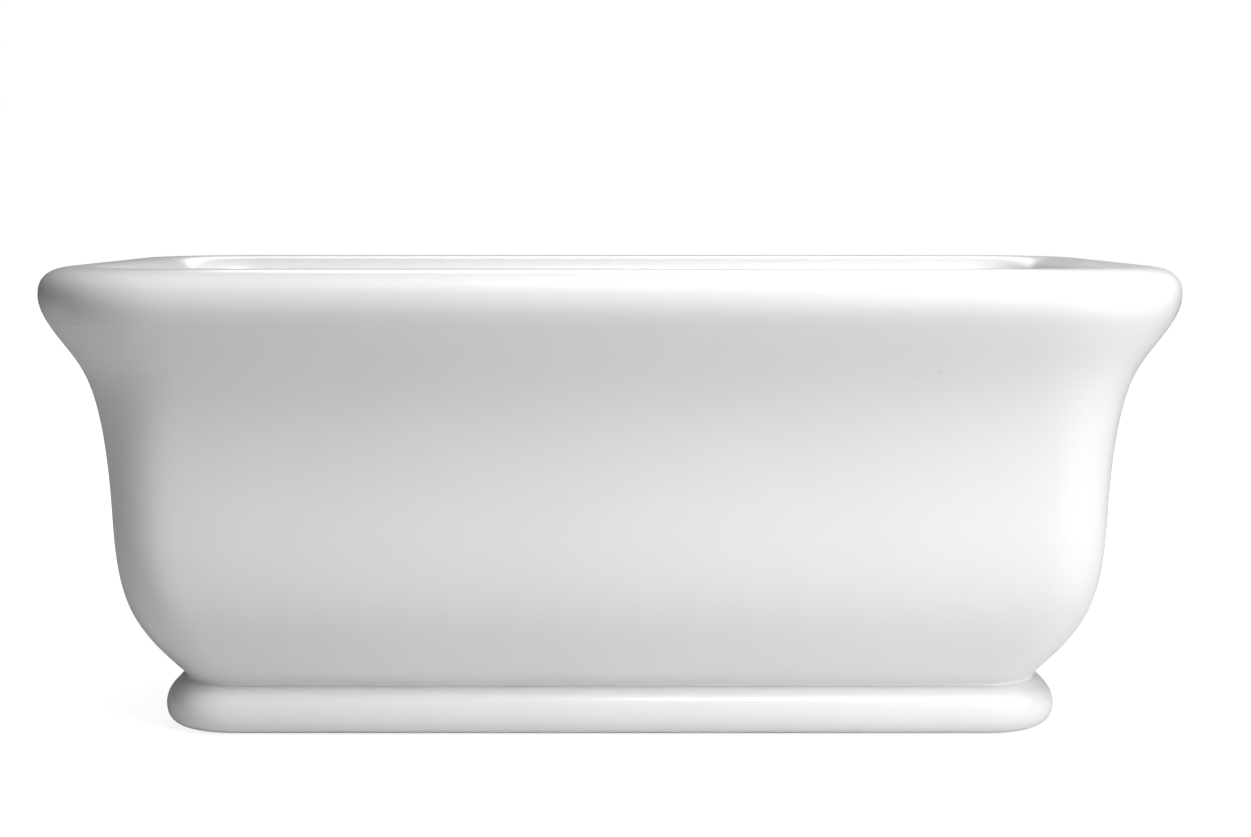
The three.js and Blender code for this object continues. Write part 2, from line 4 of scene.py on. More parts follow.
import bmesh
import bpy
import numpy as np
from mathutils import Matrix, Vector


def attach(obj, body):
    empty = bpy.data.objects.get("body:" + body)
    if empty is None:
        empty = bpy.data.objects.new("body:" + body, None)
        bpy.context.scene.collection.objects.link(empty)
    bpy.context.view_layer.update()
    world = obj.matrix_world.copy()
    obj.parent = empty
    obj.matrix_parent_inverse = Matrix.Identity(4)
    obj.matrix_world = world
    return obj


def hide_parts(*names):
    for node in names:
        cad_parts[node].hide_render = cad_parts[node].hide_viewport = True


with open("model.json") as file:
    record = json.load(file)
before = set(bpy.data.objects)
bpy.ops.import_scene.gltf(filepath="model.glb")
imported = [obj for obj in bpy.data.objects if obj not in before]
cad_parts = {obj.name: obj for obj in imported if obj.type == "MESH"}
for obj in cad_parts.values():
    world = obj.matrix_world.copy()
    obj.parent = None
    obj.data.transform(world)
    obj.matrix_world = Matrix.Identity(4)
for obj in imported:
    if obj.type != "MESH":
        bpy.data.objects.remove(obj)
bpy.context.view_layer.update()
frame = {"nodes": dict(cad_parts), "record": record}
NODES = frame["nodes"]
SCENE = bpy.context.scene
MM = 0.001

# ------------------------------------------------------------------ dimensions (mm), as in the CAD source
A, B, HEIGHT = 800.0, 425.0, 670.0
WALL = 6.0
BODY_Z = [74, 100, 130, 165, 210, 270, 350, 430, 490, 530, 565, 600, 630]
BODY_D = [181.1, 159.9, 138.2, 119.0, 104.5, 96.1, 92.1, 84.1, 70.5, 53.3, 30.1, 8.3, 0]
CORNER_Z = [70, 100, 130, 165, 220, 320, 425, 500, 560, 600, 630]
CORNER_R = [80, 88, 94, 98, 100, 103, 114, 141, 176, 197, 205]
ROLL_Z, CROWN_D, INNER_D, INNER_Z, ROLL_R = 630.0, 56.0, 108.0, 634.0, 205.0
SEAM_Z = 596.0
WALL_PATH = [
    (634, 108, 108, 97), (600, 116, 113.5, 101), (540, 135, 125, 108), (460, 165, 140, 120), (380, 198, 152, 132),
    (300, 233, 164, 142), (230, 266, 177, 150), (180, 295, 193, 152), (147, 327, 215, 150), (128, 367, 245, 138),
    (120, 412, 281, 112), (117.6, 500, 322, 84), (116.2, 640, 358, 56),
]
FLOOR_Z, UNDER_Z = 115.0, 109.0
FLANGE_D, FLANGE_TOP, FLANGE_JOINT = 212.0, 76.6, 70.6
PLINTH_OUT = [(178.05, 70.2), (177.1, 69.55), (176.17, 69.14), (173.4, 68.1), (170.5, 66.6), (163, 61.8), (157, 55.3), (153, 47.3), (151, 38), (151.3, 28), (153, 20.5), (156.8, 13.5), (162.8, 8.3), (170.5, 4.7), (178.5, 2.3), (186, 0.8), (192, 0)]
PLINTH_IN = [(188, 5.2), (180, 7), (172, 10), (165.3, 14.4), (160.7, 21), (158, 29.5), (157, 38), (158.8, 45.4), (162.3, 51.8), (168, 57.4), (174.5, 61.6), (181, 64.2)]
BOARD_TOP, BOARD_T = 108.7, 18.0
BAR_X, BAR_W, BAR_H, BAR_WALL, BAR_HALF = 380.0, 40.0, 30.0, 2.5, 205.0
BAR_TOP = BOARD_TOP - BOARD_T - 0.3
BAR_BOTTOM = BAR_TOP - BAR_H
FOOT_Y = 150.0
BOARD_SCREW_Y = 70.0
BOLT_Y, BOLT_Z = 178.0, 82.5
SCREW_POS = (BAR_X + 58, 226.0)
OVERFLOW_Z = 530.0
OVERFLOW_Y = B - (125 + 15 * 10 / 80)
LEAN = math.atan(15 / 80)
PORT_Z = 80.0
SPIGOT_Y = 322.0
SCREW_X = 16.5


def spline(xs, ys, start=None, end=None):
    """Cubic spline through the points, natural at an end with no slope given."""
    xs, ys = np.asarray(xs, float), np.asarray(ys, float)
    n = len(xs)
    m, r = np.zeros((n, n)), np.zeros(n)
    m[0, 0] = m[-1, -1] = 1
    h = np.diff(xs)
    for i in range(1, n - 1):
        m[i, i - 1:i + 2] = h[i - 1], 2 * (h[i - 1] + h[i]), h[i]
        r[i] = 6 * ((ys[i + 1] - ys[i]) / h[i] - (ys[i] - ys[i - 1]) / h[i - 1])
    if start is not None:
        m[0, :2] = 2 * h[0], h[0]
        r[0] = 6 * ((ys[1] - ys[0]) / h[0] - start)
    if end is not None:
        m[-1, -2:] = h[-1], 2 * h[-1]
        r[-1] = 6 * (end - (ys[-1] - ys[-2]) / h[-1])
    k = np.linalg.solve(m, r)

    def at(x):
        x = np.asarray(x, float)
        i = np.clip(np.searchsorted(xs, x) - 1, 0, n - 2)
        w = xs[i + 1] - xs[i]
        t, u = (xs[i + 1] - x) / w, (x - xs[i]) / w
        return t * ys[i] + u * ys[i + 1] + ((t ** 3 - t) * k[i] + (u ** 3 - u) * k[i + 1]) * w * w / 6

    return at


body_inset = spline(BODY_Z, BODY_D, end=0)
_corner = spline(CORNER_Z, CORNER_R, end=0)


def body_corner(z):
    return float(_corner(max(70.0, min(ROLL_Z, z))))


def smooth(t):
    t = np.clip(t, 0, 1)
    return t * t * (3 - 2 * t)


# ------------------------------------------------------------------ mesh tools
def ring(a, b, r, z, nc=14, nx=14, ny=8, n=2.25):
    """One level of a soft-cornered rectangle, in mm, anticlockwise from the front right corner."""
    rr = min(1.105 * r, b - 0.3, a - 0.3)
    k = 1 / (n - 1)
    out = []
    for q in range(4):
        sx, sy = [(1, -1), (1, 1), (-1, 1), (-1, -1)][q]
        pts = []
        for i in range(nc + 1):
            th = math.pi / 2 * i / nc
            c, s = math.cos(th) ** k if i < nc else 0.0, math.sin(th) ** k
            w = (c ** n + s ** n) ** (-1 / n)
            pts.append((c * w * rr, s * w * rr))
        if q in (0, 2):
            pts = pts[::-1]
        corner = [(sx * (a - rr + x), sy * (b - rr + y)) for x, y in pts]
        out += corner
        x0, y0 = corner[-1]
        # the straight side to the next corner
        if q in (0, 2):
            steps = ny
            x1, y1 = x0, -y0
        else:
            steps = nx
            x1, y1 = -x0, y0
        for i in range(1, steps):
            out.append((x0 + (x1 - x0) * i / steps, y0 + (y1 - y0) * i / steps))
    return np.array([(x, y, z) for x, y in out])


def loop_mesh(name, rings, mats=None, materials=(), closed=True, caps=False):
    """Quads between neighbouring rings of equal length. mats gives the material index of each band."""
    S, K = len(rings[0]), len(rings)
    co = np.concatenate(rings) * MM
    faces, index = [], []
    last = K if closed else K - 1
    for k in range(last):
        k1 = (k + 1) % K
        for s in range(S):
            s1 = (s + 1) % S
            faces.append((k * S + s, k * S + s1, k1 * S + s1, k1 * S + s))
            index.append(mats[k] if mats else 0)
    if caps:
        faces.append(tuple(range(S))[::-1])
        faces.append(tuple((K - 1) * S + s for s in range(S)))
        index += [0, 0]
    return make(name, co, faces, materials, index)


def make(name, co, faces, materials=(), index=None, angle=35):
    me = bpy.data.meshes.new(name)
    me.from_pydata([tuple(map(float, c)) for c in co], [], [tuple(map(int, f)) for f in faces])
    me.validate()
    if index is not None and len(index) == len(me.polygons):
        me.polygons.foreach_set("material_index", index)
    o = bpy.data.objects.new(name, me)
    SCENE.collection.objects.link(o)
    for m in materials:
        me.materials.append(m)
    outward(me)
    shade(o, angle)
    return o


def outward(me):
    bm = bmesh.new()
    bm.from_mesh(me)
    bmesh.ops.recalc_face_normals(bm, faces=bm.faces)
    if bm.calc_volume(signed=True) < 0:
        bmesh.ops.reverse_faces(bm, faces=bm.faces)
    bm.to_mesh(me)
    bm.free()


def shade(o, angle=35):
    me = o.data
    me.polygons.foreach_set("use_smooth", [True] * len(me.polygons))
    me.set_sharp_from_angle(angle=math.radians(angle))
    me.update()


def lathe(name, profile, segs=64, materials=(), loop=False, at=(0, 0, 0), angle=35, radial=None):
    """A solid of revolution about Z from (radius, height) in mm. radial(theta, r, z) may reshape the radius."""
    pts = list(profile)
    co, rows = [], []
    for r, z in pts:
        if r < 1e-6 and not loop:
            rows.append([len(co)])
            co.append((0, 0, z))
        else:
            row = []
            for s in range(segs):
                th = 2 * math.pi * s / segs
                rr = radial(th, r, z) if radial else r
                row.append(len(co))
                co.append((rr * math.cos(th), rr * math.sin(th), z))
            rows.append(row)
    faces = []
    pairs = list(zip(rows, rows[1:])) + ([(rows[-1], rows[0])] if loop else [])
    for p, q in pairs:
        for s in range(segs):
            s1 = (s + 1) % segs
            if len(p) == 1 and len(q) == 1:
                continue
            if len(p) == 1:
                faces.append((p[0], q[s1], q[s]))
            elif len(q) == 1:
                faces.append((p[s], p[s1], q[0]))
            else:
                faces.append((p[s], p[s1], q[s1], q[s]))
    if not loop:  # an end that isn't on the axis is closed flat
        for row in (rows[0], rows[-1]):
            if len(row) > 1:
                faces.append(tuple(row))
    co = np.array(co) + np.array(at)
    return make(name, co * MM, faces, materials, angle=angle)


def fillet(points, radii, closed=True, steps=5):
    """A polyline with its corners rounded: radii is one number or one per point."""
    P = [Vector((p[0], p[1])) for p in points]
    if not hasattr(radii, "__len__"):
        radii = [radii] * len(P)
    out = []
    n = len(P)
    for i in range(n):
        r = radii[i]
        if r <= 0 or (not closed and i in (0, n - 1)):
            out.append((P[i].x, P[i].y))
            continue
        a, b = P[i - 1] - P[i], P[(i + 1) % n] - P[i]
        ang = a.angle(b, 0)
        if ang < 1e-3 or abs(ang - math.pi) < 1e-3:
            out.append((P[i].x, P[i].y))
            continue
        t = min(r / math.tan(ang / 2), a.length * 0.48, b.length * 0.48)
        p0, p1 = P[i] + a.normalized() * t, P[i] + b.normalized() * t
        for k in range(steps + 1):
            u = k / steps
            q = p0 * (1 - u) ** 2 + P[i] * 2 * u * (1 - u) + p1 * u * u
            out.append((q.x, q.y))
    return out


def extrude(name, outline, z0, z1, materials=(), holes=(), bevel=0.0, angle=35):
    """A prism over an outline in mm, with chamfered long edges if bevel is given. holes are (x, y, r)."""
    pts = [np.array(p, float) for p in outline]
    n = len(pts)
    area = sum(pts[i][0] * pts[(i + 1) % n][1] - pts[(i + 1) % n][0] * pts[i][1] for i in range(n))
    if area < 0:
        pts = pts[::-1]

    def inset(d):
        out = []
        for i in range(n):
            a, b, c = pts[i - 1], pts[i], pts[(i + 1) % n]
            u, v = b - a, c - b
            u, v = u / np.linalg.norm(u), v / np.linalg.norm(v)
            nu, nv = np.array([-u[1], u[0]]), np.array([-v[1], v[0]])
            w = nu + nv
            w = w / max(1e-6, np.dot(w, nu))
            out.append(b + w * d)
        return out

    levels = [(z0, bevel), (z0 + bevel, 0), (z1 - bevel, 0), (z1, bevel)] if bevel else [(z0, 0), (z1, 0)]
    co, faces = [], []
    for z, d in levels:
        for p in inset(d) if d else pts:
            co.append((p[0], p[1], z))
    for k in range(len(levels) - 1):
        for i in range(n):
            j = (i + 1) % n
            faces.append((k * n + i, k * n + j, (k + 1) * n + j, (k + 1) * n + i))
    faces.append(tuple(range(n))[::-1])
    faces.append(tuple((len(levels) - 1) * n + i for i in range(n)))
    o = make(name, np.array(co) * MM, faces, materials, angle=angle)
    if holes:
        cutters = [lathe("cut", [(0, z0 - 5), (r, z0 - 5), (r, z1 + 5), (0, z1 + 5)], 32, at=(x, y, 0)) for x, y, r in holes]
        boolean(o, cutters)
        shade(o, angle)
    return o


def boolean(o, tools, operation="DIFFERENCE", angle=None):
    """Applies exact booleans with the tools, which are then removed."""
    for t in tools:
        m = o.modifiers.new("b", "BOOLEAN")
        m.operation = operation
        m.solver = "EXACT"
        m.object = t
    bpy.context.view_layer.update()
    dg = bpy.context.evaluated_depsgraph_get()
    me = bpy.data.meshes.new_from_object(o.evaluated_get(dg))
    old = o.data
    o.modifiers.clear()
    o.data = me
    me.name = o.name
    bpy.data.meshes.remove(old)
    for t in tools:
        d = t.data
        bpy.data.objects.remove(t)
        bpy.data.meshes.remove(d)
    bm = bmesh.new()
    bm.from_mesh(me)
    bmesh.ops.remove_doubles(bm, verts=bm.verts, dist=1e-6)
    bmesh.ops.dissolve_degenerate(bm, dist=1e-6, edges=bm.edges)
    bm.to_mesh(me)
    bm.free()
    if angle:
        shade(o, angle)
    return o


def place(o, matrix):
    """Moves an object's mesh, so that its own origin stays at the frame's."""
    o.data.transform(matrix)
    if matrix.determinant() < 0:
        o.data.flip_normals()
    o.data.update()
    return o


def shift(o, x=0, y=0, z=0):
    return place(o, Matrix.Translation(Vector((x, y, z)) * MM))


def box(name, x0, x1, y0, y1, z0, z1, materials=(), r=0.0):
    pts = [(x0, y0), (x1, y0), (x1, y1), (x0, y1)]
    if r:
        pts = fillet(pts, r)
    return extrude(name, pts, z0, z1, materials)


def hexagon(af):
    r = af / math.sqrt(3)
    return [(r * math.cos(i * math.pi / 3), r * math.sin(i * math.pi / 3)) for i in range(6)]


def stand_for(o, node, body=None):
    """o replaces one CAD node, which is hidden, rides on its body and takes the node's name with _look added."""
    record = frame["record"]
    groups = record["behaviour"]["bodies"]
    own = next(b for b, members in groups.items() if node in members)
    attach(o, body or own)
    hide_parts(node)
    o.name = node + "_look"
    o.data.name = o.name
    return o


# ------------------------------------------------------------------ materials
def material(name):
    m = bpy.data.materials.new(name)
    m.use_nodes = True
    nt = m.node_tree
    nt.nodes.clear()
    out = nt.nodes.new("ShaderNodeOutputMaterial")
    bsdf = nt.nodes.new("ShaderNodeBsdfPrincipled")
    nt.links.new(bsdf.outputs[0], out.inputs[0])
    return m, nt, bsdf


def coords(nt, scale=(1, 1, 1), rotation=(0, 0, 0)):
    t = nt.nodes.new("ShaderNodeTexCoord")
    m = nt.nodes.new("ShaderNodeMapping")
    m.inputs["Scale"].default_value = scale
    m.inputs["Rotation"].default_value = rotation
    nt.links.new(t.outputs["Object"], m.inputs["Vector"])
    return m.outputs[0]


def stretch(nt, vector, scale):
    m = nt.nodes.new("ShaderNodeMapping")
    m.inputs["Scale"].default_value = scale
    nt.links.new(vector, m.inputs["Vector"])
    return m.outputs[0]


def noise(nt, vector, scale, detail=2.0, roughness=0.5, distortion=0.0):
    n = nt.nodes.new("ShaderNodeTexNoise")
    n.inputs["Scale"].default_value = scale
    n.inputs["Detail"].default_value = detail
    n.inputs["Roughness"].default_value = roughness
    n.inputs["Distortion"].default_value = distortion
    nt.links.new(vector, n.inputs["Vector"])
    return n.outputs["Fac"]


def voronoi(nt, vector, scale, feature="F1", out="Distance"):
    n = nt.nodes.new("ShaderNodeTexVoronoi")
    n.feature = feature
    n.inputs["Scale"].default_value = scale
    nt.links.new(vector, n.inputs["Vector"])
    return n.outputs[out]


def ramp(nt, fac, stops):
    n = nt.nodes.new("ShaderNodeValToRGB")
    els = n.color_ramp.elements
    while len(els) < len(stops):
        els.new(0.5)
    for e, (p, c) in zip(els, stops):
        e.position = p
        e.color = (*c, 1) if hasattr(c, "__len__") else (c, c, c, 1)
    nt.links.new(fac, n.inputs["Fac"])
    return n.outputs["Color"]


def spread(nt, value, lo, hi, from_lo=0.3, from_hi=0.7):
    n = nt.nodes.new("ShaderNodeMapRange")
    n.inputs["From Min"].default_value = from_lo
    n.inputs["From Max"].default_value = from_hi
    n.inputs["To Min"].default_value = lo
    n.inputs["To Max"].default_value = hi
    nt.links.new(value, n.inputs["Value"])
    return n.outputs["Result"]


def maths(nt, op, a, b):
    n = nt.nodes.new("ShaderNodeMath")
    n.operation = op
    for i, v in enumerate((a, b)):
        if isinstance(v, (int, float)):
            n.inputs[i].default_value = v
        else:
            nt.links.new(v, n.inputs[i])
    return n.outputs[0]


def mix(nt, fac, a, b):
    n = nt.nodes.new("ShaderNodeMix")
    n.data_type = "RGBA"
    if isinstance(fac, (int, float)):
        n.inputs[0].default_value = fac
    else:
        nt.links.new(fac, n.inputs[0])
    for i, v in ((6, a), (7, b)):
        if isinstance(v, tuple):
            n.inputs[i].default_value = (*v, 1)
        else:
            nt.links.new(v, n.inputs[i])
    return n.outputs[2]


def bump(nt, bsdf, *layers):
    """Layers of (height output, distance in metres, strength)."""
    previous = None
    for height, distance, strength in layers:
        n = nt.nodes.new("ShaderNodeBump")
        n.inputs["Distance"].default_value = distance
        n.inputs["Strength"].default_value = strength
        nt.links.new(height, n.inputs["Height"])
        if previous is not None:
            nt.links.new(previous, n.inputs["Normal"])
        previous = n.outputs[0]
    nt.links.new(previous, bsdf.inputs["Normal"])


def acrylic():
    m, nt, b = material("white_acrylic")
    v = coords(nt)
    cloud = noise(nt, v, 3.2, 3, 0.5)
    fine = noise(nt, v, 160, 2, 0.5)
    nt.links.new(ramp(nt, cloud, [(0.3, (0.834, 0.845, 0.858)), (0.7, (0.858, 0.867, 0.878))]), b.inputs["Base Color"])
    gloss = maths(nt, "ADD", spread(nt, noise(nt, v, 7, 2, 0.45), 0.28, 0.32), spread(nt, fine, -0.008, 0.008))
    nt.links.new(gloss, b.inputs["Roughness"])
    b.inputs["IOR"].default_value = 1.49
    b.inputs["Coat Weight"].default_value = 0.25
    b.inputs["Coat Roughness"].default_value = 0.16
    peel = noise(nt, v, 190, 1.5, 0.45)
    wave = noise(nt, v, 5, 0, 0.4)
    bump(nt, b, (wave, 0.0001, 0.5), (peel, 0.000005, 0.6))
    return m


def laminate():
    """The hidden side: chopped glass strands laid in resin."""
    m, nt, b = material("glassfibre_laminate")
    strands = []
    for turn, tilt in ((0.35, 0.2), (1.25, 0.9), (2.2, -0.6), (2.8, 0.5)):
        v = stretch(nt, coords(nt, rotation=(tilt, 0.3 * tilt, turn)), (42, 560, 560))
        strands.append(noise(nt, v, 1.0, 1, 0.5, 0.4))
    top = strands[0]
    for s in strands[1:]:
        top = maths(nt, "MAXIMUM", top, s)
    v = coords(nt)
    resin = noise(nt, v, 14, 3, 0.6)
    base = ramp(nt, resin, [(0.3, (0.50, 0.47, 0.36)), (0.7, (0.62, 0.60, 0.50))])
    light = ramp(nt, top, [(0.54, 0.0), (0.78, 0.8)])
    nt.links.new(mix(nt, light, base, (0.70, 0.69, 0.60)), b.inputs["Base Color"])
    nt.links.new(spread(nt, top, 0.62, 0.34), b.inputs["Roughness"])
    b.inputs["IOR"].default_value = 1.54
    bump(nt, b, (resin, 0.0012, 0.7), (top, 0.0004, 0.8))
    return m


def metal(name, colour, dark, rough, variation, scale, peaks=0.00001, spangle=False, brushed=None, anisotropic=0.0):
    m, nt, b = material(name)
    v = coords(nt)
    n1 = noise(nt, v, scale, 4, 0.6)
    if spangle:
        cell = voronoi(nt, v, 110, out="Color")
        tone = nt.nodes.new("ShaderNodeSeparateColor")
        nt.links.new(cell, tone.inputs[0])
        mixed = maths(nt, "ADD", maths(nt, "MULTIPLY", tone.outputs[0], 0.6), maths(nt, "MULTIPLY", n1, 0.4))
        nt.links.new(ramp(nt, mixed, [(0.15, dark), (0.85, colour)]), b.inputs["Base Color"])
        nt.links.new(spread(nt, mixed, rough - variation, rough + variation, 0.1, 0.9), b.inputs["Roughness"])
    else:
        nt.links.new(ramp(nt, n1, [(0.3, dark), (0.7, colour)]), b.inputs["Base Color"])
        nt.links.new(spread(nt, noise(nt, v, scale * 3.1, 5, 0.65), rough - variation, rough + variation), b.inputs["Roughness"])
    b.inputs["Metallic"].default_value = 1.0
    if anisotropic:
        b.inputs["Anisotropic"].default_value = anisotropic
    if brushed:
        bump(nt, b, (noise(nt, coords(nt, brushed), 1.0, 2, 0.5), peaks, 1.0))
    else:
        bump(nt, b, (noise(nt, v, scale * 12, 2, 0.5), peaks, 1.0))
    return m


def plastic(name, colour, dark, rough, variation, grain, depth, ior=1.5, sheen=0.0):
    m, nt, b = material(name)
    v = coords(nt)
    nt.links.new(ramp(nt, noise(nt, v, 22, 4, 0.6), [(0.3, dark), (0.7, colour)]), b.inputs["Base Color"])
    nt.links.new(spread(nt, noise(nt, v, 75, 4, 0.6), rough - variation, rough + variation), b.inputs["Roughness"])
    b.inputs["IOR"].default_value = ior
    if sheen:
        b.inputs["Sheen Weight"].default_value = sheen
    bump(nt, b, (noise(nt, v, grain, 2, 0.5), depth, 0.9), (noise(nt, v, 45, 2, 0.5), depth * 5, 0.3))
    return m


def plywood():
    m, nt, b = material("birch_plywood")
    geo = nt.nodes.new("ShaderNodeTexCoord")
    sep = nt.nodes.new("ShaderNodeSeparateXYZ")
    nt.links.new(geo.outputs["Object"], sep.inputs[0])
    # plies: nine layers through the thickness, alternately along and across
    level = maths(nt, "MULTIPLY", maths(nt, "SUBTRACT", sep.outputs["Z"], (BOARD_TOP - BOARD_T) * MM), 9 / (BOARD_T * MM))
    wobble = maths(nt, "MULTIPLY", maths(nt, "SUBTRACT", noise(nt, coords(nt), 30, 2), 0.5), 0.5)
    layer = maths(nt, "PINGPONG", maths(nt, "ADD", level, wobble), 1.0)
    grain_a = noise(nt, coords(nt, (6, 160, 160)), 1.0, 6, 0.62, 1.2)
    grain_b = noise(nt, coords(nt, (1.4, 26, 26)), 1.0, 3, 0.5, 2.0)
    face = ramp(nt, maths(nt, "ADD", maths(nt, "MULTIPLY", grain_a, 0.55), maths(nt, "MULTIPLY", grain_b, 0.45)),
                [(0.34, (0.42, 0.27, 0.13)), (0.5, (0.60, 0.42, 0.23)), (0.66, (0.70, 0.52, 0.32))])
    edge = ramp(nt, layer, [(0.38, (0.36, 0.21, 0.10)), (0.5, (0.56, 0.38, 0.20)), (0.62, (0.68, 0.50, 0.30))])
    g = nt.nodes.new("ShaderNodeNewGeometry")
    up = nt.nodes.new("ShaderNodeSeparateXYZ")
    nt.links.new(g.outputs["True Normal"], up.inputs[0])
    flat = maths(nt, "GREATER_THAN", maths(nt, "ABSOLUTE", up.outputs["Z"], 0.0), 0.7)
    nt.links.new(mix(nt, flat, edge, face), b.inputs["Base Color"])
    nt.links.new(spread(nt, grain_a, 0.62, 0.78), b.inputs["Roughness"])
    bump(nt, b, (grain_a, 0.00018, 0.8), (layer, 0.0001, 0.5))
    return m


ACRYLIC = acrylic()
LAMINATE = laminate()
CHROME = metal("polished_chrome", (0.80, 0.81, 0.82), (0.74, 0.75, 0.765), 0.075, 0.025, 40, 0.000002)
GALVANISED = metal("galvanised_steel", (0.62, 0.64, 0.65), (0.40, 0.42, 0.435), 0.42, 0.10, 60, 0.00002, spangle=True)
ZINC = metal("zinc_plated_steel", (0.72, 0.72, 0.71), (0.58, 0.585, 0.58), 0.30, 0.07, 120, 0.00001)
BRASS = metal("machined_brass", (0.72, 0.53, 0.24), (0.58, 0.40, 0.15), 0.24, 0.06, 90, 0.000012, brushed=(60, 60, 2600))
PVC = plastic("white_waste_plastic", (0.80, 0.80, 0.775), (0.755, 0.755, 0.72), 0.38, 0.05, 420, 0.000015, 1.53)
NYLON = plastic("black_nylon", (0.030, 0.031, 0.033), (0.016, 0.0165, 0.018), 0.50, 0.08, 700, 0.00004, 1.53)
RUBBER = plastic("black_rubber", (0.022, 0.022, 0.022), (0.012, 0.012, 0.012), 0.72, 0.08, 900, 0.00003, 1.52, sheen=0.1)
PLYWOOD = plywood()
BY_SLOT = {"acrylic": ACRYLIC, "plywood": PLYWOOD, "galvanised_steel": GALVANISED, "zinc_plated_steel": ZINC, "chrome": CHROME,
           "rubber": RUBBER, "pvc": PVC, "black_nylon": NYLON, "brass": BRASS}
for row in frame["record"]["subparts"]:
    me = NODES[row["node"]].data
    me.materials.clear()
    me.materials.append(BY_SLOT[row["material_slot"]])

# ------------------------------------------------------------------ camera, first, because the view settles the rest
cam_data = bpy.data.cameras.new("camera")
cam_data.sensor_fit = "HORIZONTAL"
cam_data.sensor_width = 36
cam_data.lens = 54.21
cam_data.shift_x = 0.0124
cam_data.clip_start, cam_data.clip_end = 0.05, 60
cam = bpy.data.objects.new("camera", cam_data)
SCENE.collection.objects.link(cam)
cam.location = (0, -2.880, 0.7494)
cam.rotation_euler = (math.radians(90 - 6.36), 0, 0)
SCENE.camera = cam


# ------------------------------------------------------------------ basin
def superellipse(cx, cz, rx, rz, n, steps, first):
    """Quarter superellipse from the side (0) to the top (1), evenly turned."""
    k = 1 / (n - 1)
    out = []
    for i in range(steps + 1):
        f = math.pi / 2 * i / steps
        c = math.cos(f) ** k if i < steps else 0.0
        s = math.sin(f) ** k
        w = (c ** n + s ** n) ** (-1 / n)
        out.append((cx + (-rx if first else rx) * c * w, cz + rz * s * w))
    return out


def show_path():
    """(z, dx, dy, corner radius) from the lip over the roll and down the inner wall."""
    path = []
    for z in np.linspace(SEAM_Z + 0.2, ROLL_Z, 10)[:-1]:
        d = float(body_inset(z))
        path.append((z, d, d, body_corner(z)))
    for d, z in superellipse(CROWN_D, ROLL_Z, CROWN_D, HEIGHT - ROLL_Z, 2.5, 16, True):
        path.append((z, d, d, ROLL_R - d))
    for d, z in superellipse(CROWN_D, INNER_Z, INNER_D - CROWN_D, HEIGHT - INNER_Z, 2.353, 16, False)[::-1][1:-1]:
        path.append((z, d, d, ROLL_R - d))
    W = np.array(WALL_PATH, float)
    s = np.concatenate([[0], np.cumsum(np.hypot(np.diff(W[:, 0]), np.diff(W[:, 1])))])
    fz = spline(s, W[:, 0], start=-1.0)
    fx = spline(s, W[:, 1], start=0.0)
    fy = spline(s, W[:, 2], start=0.0)
    fr = spline(s, W[:, 3], start=0.0)
    # closer rings where the wall turns into the floor
    t = np.concatenate([np.linspace(0, s[7], 40)[:-1], np.linspace(s[7], s[10], 26)[:-1], np.linspace(s[10], s[12], 12)])
    for u in t:
        path.append((float(fz(u)), float(fx(u)), float(fy(u)), float(fr(u))))
    return path


def grid_normals(P):
    ds = np.roll(P, -1, axis=1) - np.roll(P, 1, axis=1)
    dk = np.gradient(P, axis=0)
    n = np.cross(dk, ds)
    n /= np.maximum(1e-9, np.linalg.norm(n, axis=2, keepdims=True))
    return n


def build_basin():
    path = show_path()
    rings = [ring(A - dx, B - dy, r, z) for z, dx, dy, r in path]
    # the floor from its last soft rectangle in to the waste hole
    last = rings[-1]
    a, b = A - path[-1][1], B - path[-1][2]
    phi = np.arctan2(last[:, 1] / b, last[:, 0] / a)
    circle = lambda r, z: np.stack([r * np.cos(phi), r * np.sin(phi), np.full(len(phi), z)], 1)
    for u in (0.2, 0.42, 0.64, 0.84):
        c = circle(42, FLOOR_Z)
        m = last * (1 - u) + c * u
        m[:, 2] = path[-1][0] + (FLOOR_Z - path[-1][0]) * smooth(u)
        rings.append(m)
    first_flat = len(rings)
    for r in (42, 36, 30, 26.4):
        rings.append(circle(r, FLOOR_Z))
    rings.append(circle(26, FLOOR_Z - 0.4))
    P = np.array(rings)
    K = len(P)
    n = grid_normals(P)
    if n[8, 0, 0] < 0:
        n = -n
    n[first_flat:] = (0, 0, 1)
    back = P - WALL * n
    for k in range(K):
        zk = P[k, 0, 2]
        if k > len(path) // 2 and zk < 127:
            back[k, :, 2] += (UNDER_Z - back[k, :, 2]) * float(smooth((127 - zk) / 7)) if k < first_flat else 0
        if k >= first_flat:
            back[k, :, 2] = UNDER_Z
    for k in range(K - 2, K):
        back[k, :, :2] = P[k, :, :2]
    # lip: a small round where the show face ends
    lip_a = P[0] - 0.12 * n[0]
    lip_a[:, 2] = SEAM_Z + 0.03
    lip_b = back[0].copy()
    lip_b[:, 2] = SEAM_Z + 0.15
    loops = [lip_b, lip_a] + [P[k] for k in range(K)] + [back[k] for k in range(K - 1, -1, -1)]
    mats = [0] * (K + 2) + [1] * (K - 1) + [1]
    mats = mats[:len(loops)]
    o = loop_mesh("basin_look", loops, mats, (ACRYLIC, LAMINATE))
    return o


OVER = Matrix.Translation(Vector((0, OVERFLOW_Y, OVERFLOW_Z)) * MM) @ Matrix.Rotation(math.pi / 2 - LEAN, 4, "X")

basin = build_basin()
hole = lathe("hole", [(0, -16), (24, -16), (24, 12), (0, 12)], 64)
place(hole, OVER)
boolean(basin, [hole], angle=32)
stand_for(basin, "basin")


